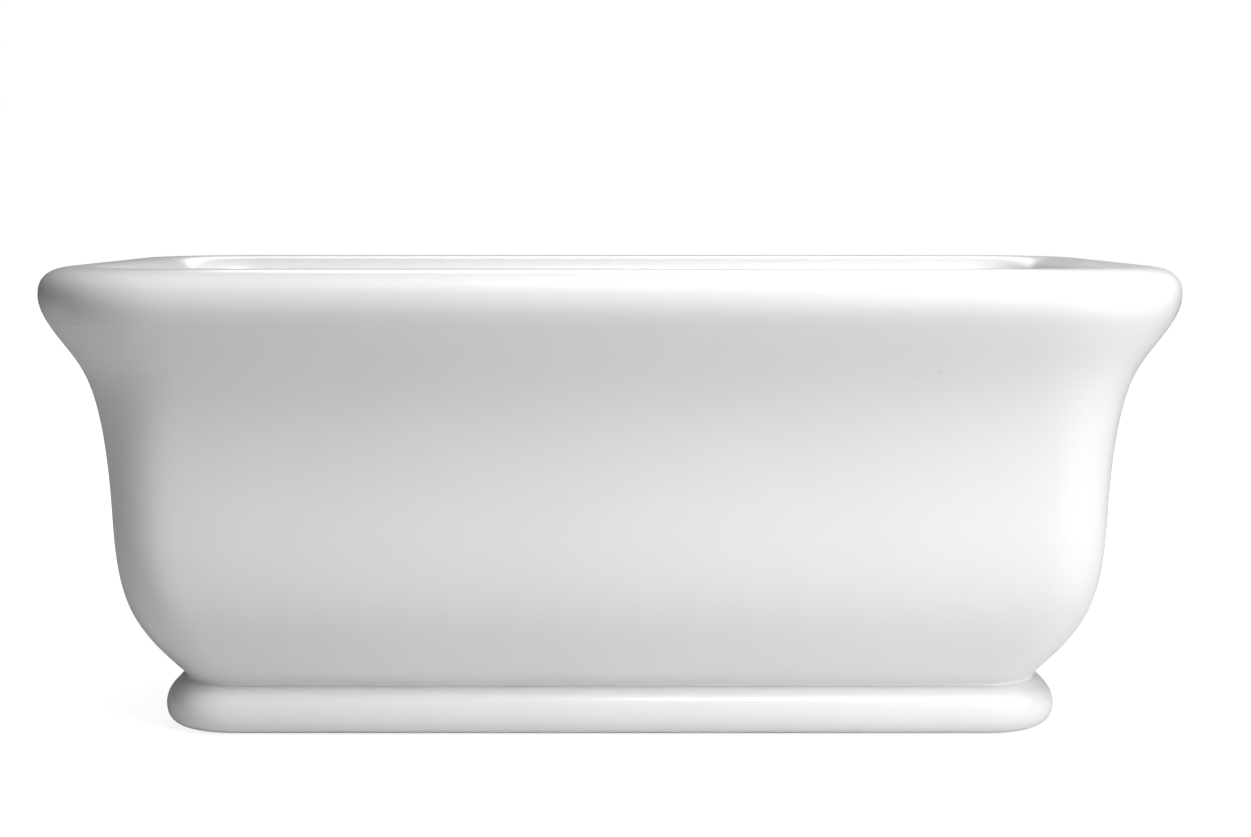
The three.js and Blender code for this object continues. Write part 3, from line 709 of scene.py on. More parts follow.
# ------------------------------------------------------------------ outer shell
def body_point(z, t):
    """[inset, z, corner radius] of the body's face moved in by t."""
    s = (float(body_inset(z + 0.5)) - float(body_inset(z - 0.5)))
    n = math.hypot(1, s)
    d0 = float(body_inset(z))
    d = d0 + t / n
    return d, z - t * s / n, max(20.0, body_corner(z) - (d - d0))


def build_shell():
    outer = []
    # the face turns out in a small cove of 5 mm radius above the plinth
    cove = [(174.71 - 5 * math.cos(math.radians(a)), 73.92 + 5 * math.sin(math.radians(a))) for a in np.linspace(221.2, 143, 12)]
    foot = fillet([(FLANGE_D, FLANGE_JOINT), (cove[0][0] + 0.04, FLANGE_JOINT), cove[1]], [0, 0.25, 0], closed=False, steps=3)[1:-1] + cove[1:]
    top = body_corner(77.3)
    for d, z in foot:
        outer.append((d, z, 81.0 + (z - FLANGE_JOINT) / (77.3 - FLANGE_JOINT) * (top - 81.0)))
    for z in list(np.linspace(77.3, 170, 22)[:-1]) + list(np.linspace(170, 440, 26)[:-1]) + list(np.linspace(440, SEAM_Z - 0.2, 31)):
        outer.append((float(body_inset(z)), z, body_corner(z)))
    d, z, r = body_point(SEAM_Z - 0.03, 0.12)
    outer.append((d, SEAM_Z - 0.03, r))
    tongue = [body_point(SEAM_Z - 0.4, 6.6), body_point(600, 6.6), body_point(606, 6.6), body_point(613, 6.6), body_point(614, 7.4), body_point(614, 9.8),
              body_point(613, 10.6), body_point(604, 10.6), body_point(596, 9.8), body_point(590, 9)]
    inner = [body_point(z, WALL) for z in list(np.linspace(575, 440, 22)) + list(np.linspace(432, 170, 20)) + list(np.linspace(164, 92, 12))]
    end = fillet([(inner[-1][0], inner[-1][1]), (188.5, FLANGE_TOP), (FLANGE_D, FLANGE_TOP)], [0, 6, 0], closed=False)
    tail = [(d, z, 80 - (d - 181) * 0.9) for d, z in end[1:-1]]
    rim = fillet([(205, FLANGE_TOP), (FLANGE_D, FLANGE_TOP), (FLANGE_D, FLANGE_JOINT), (205, FLANGE_JOINT)], [0, 0.8, 0.8, 0], closed=False, steps=3)
    lipend = [(d, z, 80 - (d - 181) * 0.9) for d, z in rim[1:-1]]
    section = outer + tongue + inner + tail + lipend
    mats = [0] * len(outer) + [1] * (len(section) - len(outer))
    return loop_mesh("shell_look", [ring(A - d, B - d, r, z) for d, z, r in section], mats, (ACRYLIC, LAMINATE), closed=True)


shell = build_shell()
drills = []
for sx in (-1, 1):
    for sy in (-1, 1):
        drills.append(lathe("drill", [(0, 60), (2.9, 60), (2.9, 82), (0, 82)], 24, at=(sx * SCREW_POS[0], sy * SCREW_POS[1], 0)))
boolean(shell, drills, angle=32)
stand_for(shell, "outer_shell")


# ------------------------------------------------------------------ plinth
def chord_spline(points, count):
    P = np.array(points, float)
    s = np.concatenate([[0], np.cumsum(np.hypot(*np.diff(P, axis=0).T))])
    f, g = spline(s, P[:, 0]), spline(s, P[:, 1])
    return [(float(f(u)), float(g(u))) for u in np.linspace(0, s[-1], count)]


def build_plinth():
    out = chord_spline(PLINTH_OUT, 44)
    inn = chord_spline(PLINTH_IN, 24)
    start = fillet([(FLANGE_D, 64.2), (FLANGE_D, 70.2), out[0]], [0, 0.8, 0], closed=False, steps=3)[:-1]
    foot = fillet([out[-1], (206, 0), (206, 5), inn[0]], [0, 0.8, 0.8, 0], closed=False, steps=3)[1:-1]
    section = start + out + foot + inn
    mats = [1] * (len(start) - 1) + [0] * len(out) + [1] * (len(foot) + len(inn) + 1)
    mats = mats[:len(section)]
    rings = [ring(A - d, B - d, 100 - 0.7 * (d - 151), z) for d, z in section]
    return loop_mesh("plinth_look", rings, mats, (ACRYLIC, LAMINATE))


plinth = build_plinth()
drills = []
for sx in (-1, 1):
    for sy in (-1, 1):
        drills.append(lathe("drill", [(0, 60), (2.9, 60), (2.9, 82), (0, 82)], 24, at=(sx * SCREW_POS[0], sy * SCREW_POS[1], 0)))
boolean(plinth, drills, angle=32)
stand_for(plinth, "plinth")

# ------------------------------------------------------------------ hardware tools
def thread_rows(r, z0, z1, pitch, per=7):
    return [(r, float(z)) for z in np.linspace(z0, z1, max(2, int((z1 - z0) / pitch * per)) + 1)]


def threader(*runs):
    """Cuts a right-hand thread into each (radius, z0, z1, pitch, depth)."""
    def radial(th, r, z):
        for r0, z0, z1, pitch, depth in runs:
            if abs(r - r0) < 1e-6 and z0 - 1e-6 <= z <= z1 + 1e-6:
                tri = abs(2 * ((z / pitch - th / (2 * math.pi)) % 1.0) - 1)
                cut = 1 - min(1, max(0, (tri - 0.12) / 0.72))
                return r - depth * cut * min(1, (z - z0) / pitch, (z1 - z) / pitch)
        return r
    return radial


def hex_body(name, af, z0, z1, materials, both=True, chamfer=0.05):
    """A hexagonal prism with its corners turned off at 30 degrees."""
    o = extrude(name, hexagon(af), z0, z1, materials)
    r, drop = af / 2 * 0.985, af * 0.6 * math.tan(math.radians(30)) * 0.2
    out = af * 0.62
    top = [(0, z1), (r, z1), (out, z1 - (out - r) * 0.577), (out, z0 + ((out - r) * 0.577 if both else 0)), (r if both else out, z0), (0, z0)]
    if not both:
        top = [(0, z1), (r, z1), (out, z1 - (out - r) * 0.577), (out, z0 - 0.5), (0, z0 - 0.5)]
    boolean(o, [lathe("turn", top[::-1], 72)], "INTERSECT")
    return o


def nut(name, af, bore, z0, z1, materials):
    o = hex_body(name, af, z0, z1, materials)
    c = 0.7
    boolean(o, [lathe("bore", [(0, z0 - 1), (bore + c + 1, z0 - 1), (bore, z0 + c), (bore, z1 - c), (bore + c + 1, z1 + 1), (0, z1 + 1)], 48)], angle=25)
    return o


def cross_recess(o, z, down=True, span=4.6, wide=1.0, depth=1.9):
    s = -1 if down else 1
    tools = []
    for turn in (0, math.pi / 2):
        t = extrude("recess", [(-span / 2, -wide / 2), (span / 2, -wide / 2), (span / 2, wide / 2), (-span / 2, wide / 2)], min(z, z + s * depth) - (0 if down else 1), max(z, z + s * depth) + (1 if down else 0))
        place(t, Matrix.Rotation(turn, 4, "Z"))
        tools.append(t)
    boolean(o, tools)
    boolean(o, [lathe("pit", [(0, z + s * (depth + 0.4)), (0.9, z + s * depth), (1.2, z - s * 1), (0, z - s * 1)][::s if s == 1 else 1], 20)], angle=28)
    return o


def mirrored(o, sx, sy):
    return place(o, Matrix.Diagonal((sx, sy, 1, 1)))


def rotx(a):
    return Matrix.Rotation(a, 4, "X")


def roty(a):
    return Matrix.Rotation(a, 4, "Y")


CORNERS = [(-1, -1), (-1, 1), (1, -1), (1, 1)]

# ------------------------------------------------------------------ baseboard
def build_board():
    a, b, r, w, d = 445, 165, 60, 50, -50
    arc = lambda cx, cy, t0: [(cx + r * math.cos(t0 + math.pi / 2 * i / 14), cy + r * math.sin(t0 + math.pi / 2 * i / 14)) for i in range(15)]
    notch = fillet([(w, b), (w, d), (-w, d), (-w, b)], [0, 6, 6, 0], closed=False, steps=5)
    pts = arc(-a + r, -b + r, math.pi)[:] + arc(a - r, -b + r, 1.5 * math.pi) + arc(a - r, b - r, 0) + notch + arc(-a + r, b - r, math.pi / 2)
    o = extrude("board", pts, BOARD_TOP - BOARD_T, BOARD_TOP, (PLYWOOD,), bevel=0.5)
    tools = [lathe("pilot", [(0, 85), (2.45, 85), (2.45, 105), (0, 106)], 20, at=(sx * BAR_X, sy * BOARD_SCREW_Y, 0)) for sx, sy in CORNERS]
    boolean(o, tools, angle=30)
    return stand_for(o, "baseboard")


build_board()


# ------------------------------------------------------------------ cradle bars
def build_bar(node, sx):
    def section(inset, r, y):
        x0, x1 = BAR_X - BAR_W / 2 + inset, BAR_X + BAR_W / 2 - inset
        z0, z1 = BAR_BOTTOM + inset, BAR_TOP - inset
        pts = fillet([(x0, z0), (x1, z0), (x1, z1), (x0, z1)], r, steps=6)
        return np.array([(x, y, z) for x, z in pts])
    h = BAR_HALF
    rings = [section(0.3, 2.9, -h), section(0, 3.2, -h + 0.3), section(0, 3.2, h - 0.3), section(0.3, 2.9, h), section(BAR_WALL, 1.2, h), section(BAR_WALL, 1.2, -h)]
    o = loop_mesh("bar", rings, None, (GALVANISED,))
    tools = []
    for sy in (-1, 1):
        tools.append(lathe("h", [(0, BAR_BOTTOM - 3), (7, BAR_BOTTOM - 3), (7, BAR_BOTTOM + 6), (0, BAR_BOTTOM + 6)], 40, at=(BAR_X, sy * FOOT_Y, 0)))
        tools.append(lathe("h", [(0, BAR_BOTTOM - 3), (2.9, BAR_BOTTOM - 3), (2.9, BAR_TOP + 3), (0, BAR_TOP + 3)], 24, at=(BAR_X, sy * BOARD_SCREW_Y, 0)))
        t = lathe("h", [(0, -8), (3.4, -8), (3.4, 8), (0, 8)], 24)
        place(t, Matrix.Translation(Vector((BAR_X + BAR_W / 2, sy * BOLT_Y, BOLT_Z)) * MM) @ roty(math.pi / 2))
        tools.append(t)
    boolean(o, tools, angle=28)
    mirrored(o, sx, 1)
    return stand_for(o, node)


build_bar("cradle_bar_left", -1)
build_bar("cradle_bar_right", 1)


# ------------------------------------------------------------------ screws, brackets and bolts
def board_screw():
    under = BAR_BOTTOM - 0.3
    z0, z1 = under + 2, BOARD_TOP - 7
    prof = [(0, under - 3.2), (1.6, under - 3.18), (3.0, under - 3.0), (4.1, under - 2.4), (4.9, under - 1.4), (5.3, under - 0.5), (5.4, under), (2.3, under)]
    prof += thread_rows(2.3, z0, z1, 2.2, 6) + [(1.2, z1 + 1.6), (0, BOARD_TOP - 4.5)]
    o = lathe("screw", prof, 28, (ZINC,), radial=threader((2.3, z0, z1, 2.2, 0.65)))
    return cross_recess(o, under - 3.3, down=False)


def flange_screw():
    lie = FLANGE_TOP + 0.3
    top = lie + 3 + 0.3
    prof = [(0, 57)] + [(1.0, 59.2)] + thread_rows(2.5, 61.5, top - 3.5, 1.8, 6) + [(2.5, top), (5.2, top), (5.15, top + 0.6), (4.9, top + 1.7), (4.2, top + 2.6), (3.0, top + 3.2), (0, top + 3.4)]
    o = lathe("screw", prof, 28, (ZINC,), radial=threader((2.5, 61.5, top - 3.5, 1.8, 0.6)))
    return cross_recess(o, top + 3.5, down=True)


def bracket():
    x0 = BAR_X + BAR_W / 2 + 0.3
    lie = FLANGE_TOP + 0.3
    web = extrude("web", fillet([(158, lie), (235, lie), (235, 90), (158, 90)], [2, 0, 5, 5]), 0, 3, (GALVANISED,), bevel=0.3)
    # outline in (y, z), depth along x
    place(web, Matrix.Translation(Vector((x0, 0, 0)) * MM) @ Matrix(((0, 0, 1, 0), (1, 0, 0, 0), (0, 1, 0, 0), (0, 0, 0, 1))))
    foot = extrude("foot", fillet([(x0 + 0.01, 215), (x0 + 49, 215), (x0 + 49, 235), (x0 + 0.01, 235)], [0, 7, 7, 0]), lie, lie + 3, (GALVANISED,), bevel=0.3)
    bend = extrude("bend", [(x0 + 2.9, lie + 2.9), (x0 + 6.2, lie + 2.9), (x0 + 4.1, lie + 3.9), (x0 + 3.3, lie + 4.9), (x0 + 2.9, lie + 6.6)], 0, 19.4, (GALVANISED,))
    place(bend, Matrix.Translation(Vector((0, 234.7, 0)) * MM) @ Matrix(((1, 0, 0, 0), (0, 0, -1, 0), (0, 1, 0, 0), (0, 0, 0, 1))))
    boolean(web, [foot, bend], "UNION")
    h1 = lathe("h", [(0, -8), (3.4, -8), (3.4, 8), (0, 8)], 24)
    place(h1, Matrix.Translation(Vector((x0, BOLT_Y, BOLT_Z)) * MM) @ roty(math.pi / 2))
    h2 = lathe("h", [(0, 70), (2.9, 70), (2.9, 90), (0, 90)], 24, at=(SCREW_POS[0], SCREW_POS[1], 0))
    boolean(web, [h1, h2], angle=30)
    return web


def bracket_bolt():
    hx = BAR_X + BAR_W / 2 + 0.3 + 3 + 0.3
    head = hex_body("bolt", 10, 0, 4.2, (ZINC,), both=False)
    shank = lathe("shank", [(0, -15.6), (1.9, -15.6), (2.8, -14.8)] + thread_rows(2.9, -14.6, -1.0, 1.0, 6) + [(2.9, 0.6), (0, 0.6)], 24, (ZINC,), radial=threader((2.9, -14.6, -1.0, 1.0, 0.45)))
    boolean(head, [shank], "UNION", angle=28)
    return place(head, Matrix.Translation(Vector((hx, BOLT_Y, BOLT_Z)) * MM) @ roty(math.pi / 2))


for k, (sx, sy) in enumerate(CORNERS, 1):
    stand_for(shift(board_screw(), sx * BAR_X, sy * BOARD_SCREW_Y), f"board_screw_{k}")
    stand_for(shift(flange_screw(), sx * SCREW_POS[0], sy * SCREW_POS[1]), f"flange_screw_{k}")
    stand_for(mirrored(bracket(), sx, sy), f"plinth_bracket_{k}")
    stand_for(mirrored(bracket_bolt(), sx, sy), f"bracket_bolt_{k}")


# ------------------------------------------------------------------ levelling feet
def foot_pad():
    prof = [(0, 0.9), (15.2, 0.9), (16.2, 0), (24.4, 0), (25.3, 0.35), (25.9, 1.2), (26, 2.0), (26, 5.0), (25.7, 5.9), (24.6, 6.7), (20, 7.5), (15.2, 8.7), (13.0, 10.3), (11.9, 12.6), (11.3, 16), (10.9, 20.2), (10.5, 20.8), (10.0, 21), (7.4, 21), (6.6, 20.6), (6.3, 19.9), (6.3, 8.6), (5.4, 8), (0, 8)]
    o = lathe("pad", prof, 72, (NYLON,), angle=40)
    tools = []
    for i in range(8):
        rib = extrude("rib", [(9.5, 6.0), (24.0, 6.0), (22.8, 8.2), (16.0, 12.5), (12.2, 18.4), (9.5, 18.9)], -0.9, 0.9, (NYLON,), bevel=0.2)
        place(rib, Matrix.Rotation(i * math.pi / 4 + 0.2, 4, "Z") @ Matrix(((1, 0, 0, 0), (0, 0, -1, 0), (0, 1, 0, 0), (0, 0, 0, 1))))
        tools.append(rib)
    boolean(o, tools, "UNION")
    boolean(o, [lathe("socket", [(0, 8.2), (6.3, 8.2), (6.3, 24), (0, 24)], 72)], angle=35)
    return o


def foot_stud():
    prof = [(0, 8.5), (3.8, 8.6), (4.8, 9.2), (5.1, 10.4), (5.1, 21.8)]
    prof += [(5.9, 22.6)] + thread_rows(5.9, 23.0, 84.2, 1.75, 8) + [(5.0, 85.2), (4.4, 85.6), (0, 85.6)]
    o = lathe("stud", prof, 32, (ZINC,), radial=threader((5.9, 23.0, 84.2, 1.75, 0.95)), angle=50)
    collar = hex_body("collar", 17, 23.5, 30.5, (ZINC,))
    boolean(o, [collar], "UNION", angle=30)
    return o


for k, (sx, sy) in enumerate(CORNERS, 1):
    at = (sx * BAR_X, sy * FOOT_Y)
    top = BAR_BOTTOM - 0.3
    stand_for(shift(foot_pad(), *at), f"foot_pad_{k}")
    stand_for(shift(foot_stud(), *at), f"foot_stud_{k}")
    stand_for(shift(nut("nut", 19, 6.25, top - 9.7, top, (ZINC,)), *at), f"weld_nut_{k}")
    stand_for(shift(nut("nut", 19, 6.25, top - 16, top - 10, (ZINC,)), *at), f"lock_nut_{k}")


# ------------------------------------------------------------------ waste
def ring_seal(name, r0, r1, z0, z1, mat, node, e=0.35, matrix=None):
    pts = fillet([(r0, z0), (r1, z0), (r1, z1), (r0, z1)], e, steps=3)
    o = lathe(name, pts, 72, (mat,), loop=True)
    if matrix is not None:
        place(o, matrix)
    return stand_for(o, node)


def waste_flange():
    disc = fillet([(23, 117.0), (34.3, 117.0), (35, 117.9), (34.6, 119.6), (32.4, 120.3), (26.4, 120.3), (19.4, 116.4), (19.2, 92), (22.6, 92), (23, 93)],
                  [0.2, 0.3, 0.6, 0.8, 1.2, 0.8, 1.4, 0.2, 0.2, 0], steps=5)
    cut = [(r, z) for r, z in disc]
    prof = cut + thread_rows(23, 93.2, 113.5, 1.5, 7) + [(23, 115)]
    o = lathe("flange", prof, 72, (CHROME,), loop=True, radial=threader((23, 93.2, 113.5, 1.5, 0.8)), angle=40)
    tools = []
    for t in (0, math.pi / 2):
        bar = extrude("bar", [(-19.9, -1.6), (19.9, -1.6), (19.9, 1.6), (-19.9, 1.6)], 94, 98, (CHROME,), bevel=0.35)
        tools.append(place(bar, Matrix.Rotation(t, 4, "Z")))
    tools.append(lathe("hub", [(0, 94), (6.1, 94), (6.5, 94.4), (6.5, 97.6), (6.1, 98), (0, 98)], 48, (CHROME,)))
    boolean(o, tools, "UNION")
    boolean(o, [lathe("hole", [(0, 90), (3.4, 90), (3.4, 101), (0, 101)], 32)], angle=35)
    return stand_for(o, "waste_flange")


waste_flange()
ring_seal("seal", 26.4, 33.5, 115.2, 116.75, RUBBER, "flange_seal")
ring_seal("gasket", 24, 35.5, 105.1, 108.7, RUBBER, "clamp_gasket", 0.7)


def port(o_r, i0, i1, segs=64):
    t = lathe("port", [(0, i0), (o_r, i0), (o_r, i1), (0, i1)], segs, (PVC,))
    return place(t, Matrix.Translation(Vector((0, 0, PORT_Z)) * MM) @ rotx(-math.pi / 2))


def waste_body():
    prof = [(0, 43.6), (22.9, 43.6), (23.5, 44.2)] + thread_rows(23.5, 44.4, 55.8, 2.0, 7) + [(23.5, 56.6), (24.3, 57), (27.4, 57), (28, 57.8), (28, 97.6), (28.6, 98.8), (30.2, 99.4), (35.3, 99.4), (36, 100.1), (36, 104.1), (35.3, 104.8), (0, 104.8)]
    o = lathe("body", prof, 72, (PVC,), radial=threader((23.5, 44.4, 55.8, 2.0, 1.0)), angle=40)
    adds = []
    t = lathe("port", [(0, 9), (17.5, 9), (17.5, 40)] + thread_rows(17.5, 42.0, 56.4, 2.0, 7) + [(17.5, 57.2), (16.9, 58), (0, 58)], 64, (PVC,), radial=threader((17.5, 42.0, 56.4, 2.0, 0.9)))
    adds.append(place(t, Matrix.Translation(Vector((0, 0, PORT_Z)) * MM) @ rotx(-math.pi / 2)))
    t = lathe("boss", [(0, 6), (21.3, 6), (21.3, 35.6), (20.3, 37), (0, 37)], 64, (PVC,))
    adds.append(place(t, Matrix.Translation(Vector((0, 0, PORT_Z)) * MM) @ rotx(-math.pi / 2)))
    for i in range(10):
        a = math.radians(-90 + (i - 4.5) * 26)
        rib = extrude("gusset", [(26.5, 86), (28.2, 86), (34.6, 99.6), (26.5, 99.6)], -0.9, 0.9, (PVC,))
        place(rib, Matrix.Rotation(a, 4, "Z") @ Matrix(((1, 0, 0, 0), (0, 0, -1, 0), (0, 1, 0, 0), (0, 0, 0, 1))))
        adds.append(rib)
    boolean(o, adds, "UNION")
    boolean(o, [lathe("b1", [(0, 91.2), (23.7, 91.2), (23.7, 110), (0, 110)], 72), lathe("b2", [(0, 40), (19.55, 40), (19.55, 92), (0, 92)], 72), port(14.6, 36, 70), port(10.8, 12, 38)], angle=30)
    return stand_for(o, "waste_body")


waste_body()
tail = lathe("tail", fillet([(17, 6), (19.1, 6), (19.1, 62), (17, 62)], 0.5, steps=3), 72, (PVC,), loop=True)
stand_for(tail, "tailpiece")
ring_seal("washer", 19.6, 23.2, 40.4, 43.3, RUBBER, "tail_washer", 0.6)


def tail_nut():
    lobes = lambda th, r, z: r + (1.3 * max(0.0, math.cos(8 * th)) ** 2 * min(1, max(0, (z - 34.6) / 1.6), max(0, (51.2 - z) / 1.6)) if r > 28.9 else 0)
    prof = [(19.5, 34), (28.6, 34), (29.4, 34.5), (29.9, 35.4)] + [(30, z) for z in np.linspace(36, 50, 8)] + [(29.9, 50.9), (29.4, 51.5), (24.2, 51.5), (23.9, 51.1), (23.9, 40), (19.5, 40)]
    o = lathe("nut", prof, 128, (PVC,), loop=True, radial=lobes, angle=40)
    return stand_for(o, "tail_nut")


tail_nut()

# stopper
o = lathe("cartridge", [(0, 98.35), (7.8, 98.35), (8.2, 98.8), (8.2, 103), (7.7, 103.4), (7.7, 104.2), (8.2, 104.6), (8.2, 112.1), (7.8, 112.6), (4.9, 112.6), (4.5, 112.2), (4.5, 101), (0, 101)], 56, (BRASS,))
boolean(o, [lathe("tail", [(0, 89), (2.5, 89), (3.1, 89.6)] + thread_rows(3.1, 90, 98.0, 1.0, 6) + [(3.1, 99), (0, 99)], 24, (BRASS,), radial=threader((3.1, 90, 98.0, 1.0, 0.4)))], "UNION", angle=30)
stand_for(o, "stopper_cartridge")
stand_for(lathe("plunger", [(0, 101.4), (3.5, 101.4), (4.1, 102), (4.1, 117.3), (3.7, 117.8), (0, 117.8)], 40, (BRASS,)), "stopper_plunger")
stand_for(lathe("seal", fillet([(4.6, 118.15), (20.6, 118.15), (21.2, 119.3), (20.8, 120.3), (4.6, 120.3)], [0.2, 0.5, 0.3, 0.3, 0.2], steps=3), 72, (RUBBER,), loop=True), "stopper_seal")
cap = [(0, 118.1), (3.9, 118.1), (4.2, 118.4), (4.2, 120.6), (27.0, 120.6), (27.6, 120.75), (27.95, 121.15), (28, 121.5), (27.9, 121.9), (27.5, 122.3), (26.6, 122.65)]
cap += [(26.6 * (1 - u), 122.65 + 2.65 * (1 - (1 - u) ** 2.2)) for u in np.linspace(0.08, 0.94, 14)] + [(0, 125.3)]
stand_for(lathe("cap", cap, 96, (CHROME,), angle=50), "stopper_cap")


# ------------------------------------------------------------------ overflow
def overflow_cover():
    outer = [(35.7, 0.6), (36, 0.9), (36.0, 4.4), (35.8, 5.6), (35.2, 6.9), (34.0, 8.2), (32.2, 9.2), (29, 10.1), (24, 11.1), (18, 11.9), (12, 12.35), (6, 12.55), (0, 12.6)]
    inner = [(0, 10), (10, 9.9), (19, 9.4), (27, 8.4), (31, 7.2), (32.6, 6), (33.2, 4.6), (33.3, 0.9), (33.6, 0.6)]
    segs = 96
    co, rows = [], []
    for r, z in outer + inner:
        if r == 0:
            rows.append([len(co)])
            co.append((0, 0, z))
        else:
            rows.append(list(range(len(co), len(co) + segs)))
            co += [(r * math.cos(2 * math.pi * s / segs), r * math.sin(2 * math.pi * s / segs), z) for s in range(segs)]
    faces = []
    for i in list(range(len(rows) - 1)) + [-1]:
        p, q = (rows[i], rows[i + 1]) if i >= 0 else (rows[-1], rows[0])
        for s in range(segs):
            s1 = (s + 1) % segs
            if len(p) == 1 and len(q) == 1:
                break
            if len(p) == 1:
                faces.append((p[0], q[s1], q[s]))
            elif len(q) == 1:
                faces.append((p[s], p[s1], q[0]))
            else:
                faces.append((p[s], p[s1], q[s1], q[s]))
    o = make("cover", np.array(co) * MM, faces, (CHROME,), angle=50)
    slot = extrude("slot", fillet([(-17, -40), (17, -40), (17, -24), (-17, -24)], [0, 0, 5, 5]), -1, 6.2)
    tools = [slot] + [lathe("h", [(0, 2), (2.8, 2), (2.8, 18), (0, 18)], 32, at=(s * SCREW_X, 0, 0)) for s in (-1, 1)]
    boolean(o, tools, angle=45)
    return stand_for(place(o, OVER), "overflow_cover")


overflow_cover()


def overflow_screw(sx, node):
    prof = [(0, -23), (1.2, -22)] + thread_rows(2.5, -20.5, -2, 0.8, 6) + [(2.5, 12.35), (4.6, 12.35), (4.9, 12.6), (4.85, 13.2), (4.4, 14.2), (3.4, 14.9), (2.0, 15.15), (0, 15.2)]
    o = lathe("screw", prof, 32, (CHROME,), radial=threader((2.5, -20.5, -2, 0.8, 0.35)), angle=45)
    cross_recess(o, 15.25, down=True, span=4.4, wide=0.9, depth=1.6)
    shift(o, sx * SCREW_X)
    return stand_for(place(o, OVER), node)


overflow_screw(-1, "overflow_screw_1")
overflow_screw(1, "overflow_screw_2")
ring_seal("og", 24.4, 33.5, -9.6, -6.7, RUBBER, "overflow_gasket", 0.6, OVER)


def down(o):
    return shift(o, 0, SPIGOT_Y, 0)


def elbow():
    o = place(lathe("elbow", [(0, -41), (21.6, -41), (23, -39.4), (23, -15.2), (24, -14.2), (32.4, -14.2), (33, -13.6), (33, -10.5), (32.4, -9.9), (0, -9.9)], 72, (PVC,), angle=40), OVER)
    spigot = down(lathe("spigot", [(0, 482.5), (16.9, 482.5), (17.5, 483.2)] + thread_rows(17.5, 483.6, 496.5, 2.0, 7) + [(17.5, 497), (17.5, 530), (0, 530)], 64, (PVC,), radial=threader((17.5, 483.6, 496.5, 2.0, 0.9))))
    boolean(o, [spigot], "UNION")
    tools = [place(lathe("t", [(0, -38), (20, -38), (20, -5), (0, -5)], 64), OVER), down(lathe("d1", [(0, 500), (12, 500), (12, 530), (0, 530)], 48)), down(lathe("d2", [(0, 470), (14.6, 470), (14.6, 506), (0, 506)], 64))]
    boolean(o, tools)
    bosses = [place(lathe("boss", [(0, -39), (4.6, -39), (4.6, -10), (0, -10)], 32, (PVC,), at=(s * SCREW_X, 0, 0)), OVER) for s in (-1, 1)]
    boolean(o, bosses, "UNION")
    holes = [place(lathe("hole", [(0, -26), (2.75, -26), (2.75, -5), (0, -5)], 24, at=(s * SCREW_X, 0, 0)), OVER) for s in (-1, 1)]
    boolean(o, holes, angle=30)
    return stand_for(o, "overflow_elbow")


elbow()

PIPE = [(322, 504), (322, 488), (322, 470), (319.6, 448), (313.5, 412), (306.5, 360), (299.5, 295), (290.5, 235), (275.5, 182), (253, 140), (228, 112), (199, 92.5), (163, 82.5), (125, 80), (90, 80), (38, 80)]


def pipe():
    """Ribbed flexible pipe with plain cuffs, drawn fixed along its curved path."""
    P = np.array(PIPE, float)
    s = np.concatenate([[0], np.cumsum(np.hypot(*np.diff(P, axis=0).T))])
    fy, fz = spline(s, P[:, 0]), spline(s, P[:, 1])
    total = s[-1]
    cuff0, cuff1 = 44.0, total - 46.0
    pitch = 4.0
    count = int((cuff1 - cuff0) / pitch)
    stations = [(0.0, 13.6), (0.4, 14.0), (cuff0 - 1.5, 14.0), (cuff0, 13.4)]
    shape = [(0.0, 12.75), (0.12, 12.9), (0.3, 13.75), (0.5, 14.0), (0.7, 13.75), (0.88, 12.9)]
    for i in range(count):
        base = cuff0 + (cuff1 - cuff0) * i / count
        stations += [(base + f * (cuff1 - cuff0) / count, r) for f, r in shape if i or f]
    stations += [(cuff1, 13.4), (cuff1 + 1.5, 14.0), (total - 0.4, 14.0), (total, 13.6)]
    segs = 32

    def level(u, r):
        y, z = float(fy(u)), float(fz(u))
        e = 0.5
        ty, tz = float(fy(min(total, u + e)) - fy(max(0, u - e))), float(fz(min(total, u + e)) - fz(max(0, u - e)))
        L = math.hypot(ty, tz)
        ty, tz = ty / L, tz / L
        return np.array([(r * math.cos(a), y - tz * r * math.sin(a), z + ty * r * math.sin(a)) for a in (2 * math.pi * k / segs for k in range(segs))])
    outer = [level(u, r) for u, r in stations]
    inner = [level(u, 12.0) for u in np.linspace(total, 0, 90)]
    o = loop_mesh("pipe", outer + inner, None, (PVC,))
    return stand_for(o, "overflow_pipe")


pipe()


def pipe_nut(node, matrix):
    lobes = lambda th, r, z: r + (0.9 * max(0.0, math.cos(8 * th)) ** 2 * min(1, max(0, (z - 0.9) / 1.4), max(0, (15.2 - z) / 1.4)) if r > 18.9 else 0)
    prof = [(14.6, 0), (18.7, 0), (19.3, 0.3), (19.8, 1.0)] + [(20, z) for z in np.linspace(1.6, 14.6, 8)] + [(19.7, 15.2), (19.2, 15.5), (18.1, 15.5), (17.9, 15.2), (17.9, 4), (14.6, 4)]
    o = lathe("nut", prof, 128, (PVC,), loop=True, radial=lobes, angle=40)
    return stand_for(place(o, matrix), node)


pipe_nut("pipe_nut_upper", Matrix.Translation(Vector((0, SPIGOT_Y, 475)) * MM))
pipe_nut("pipe_nut_lower", Matrix.Translation(Vector((0, 66, PORT_Z)) * MM) @ rotx(math.pi / 2))

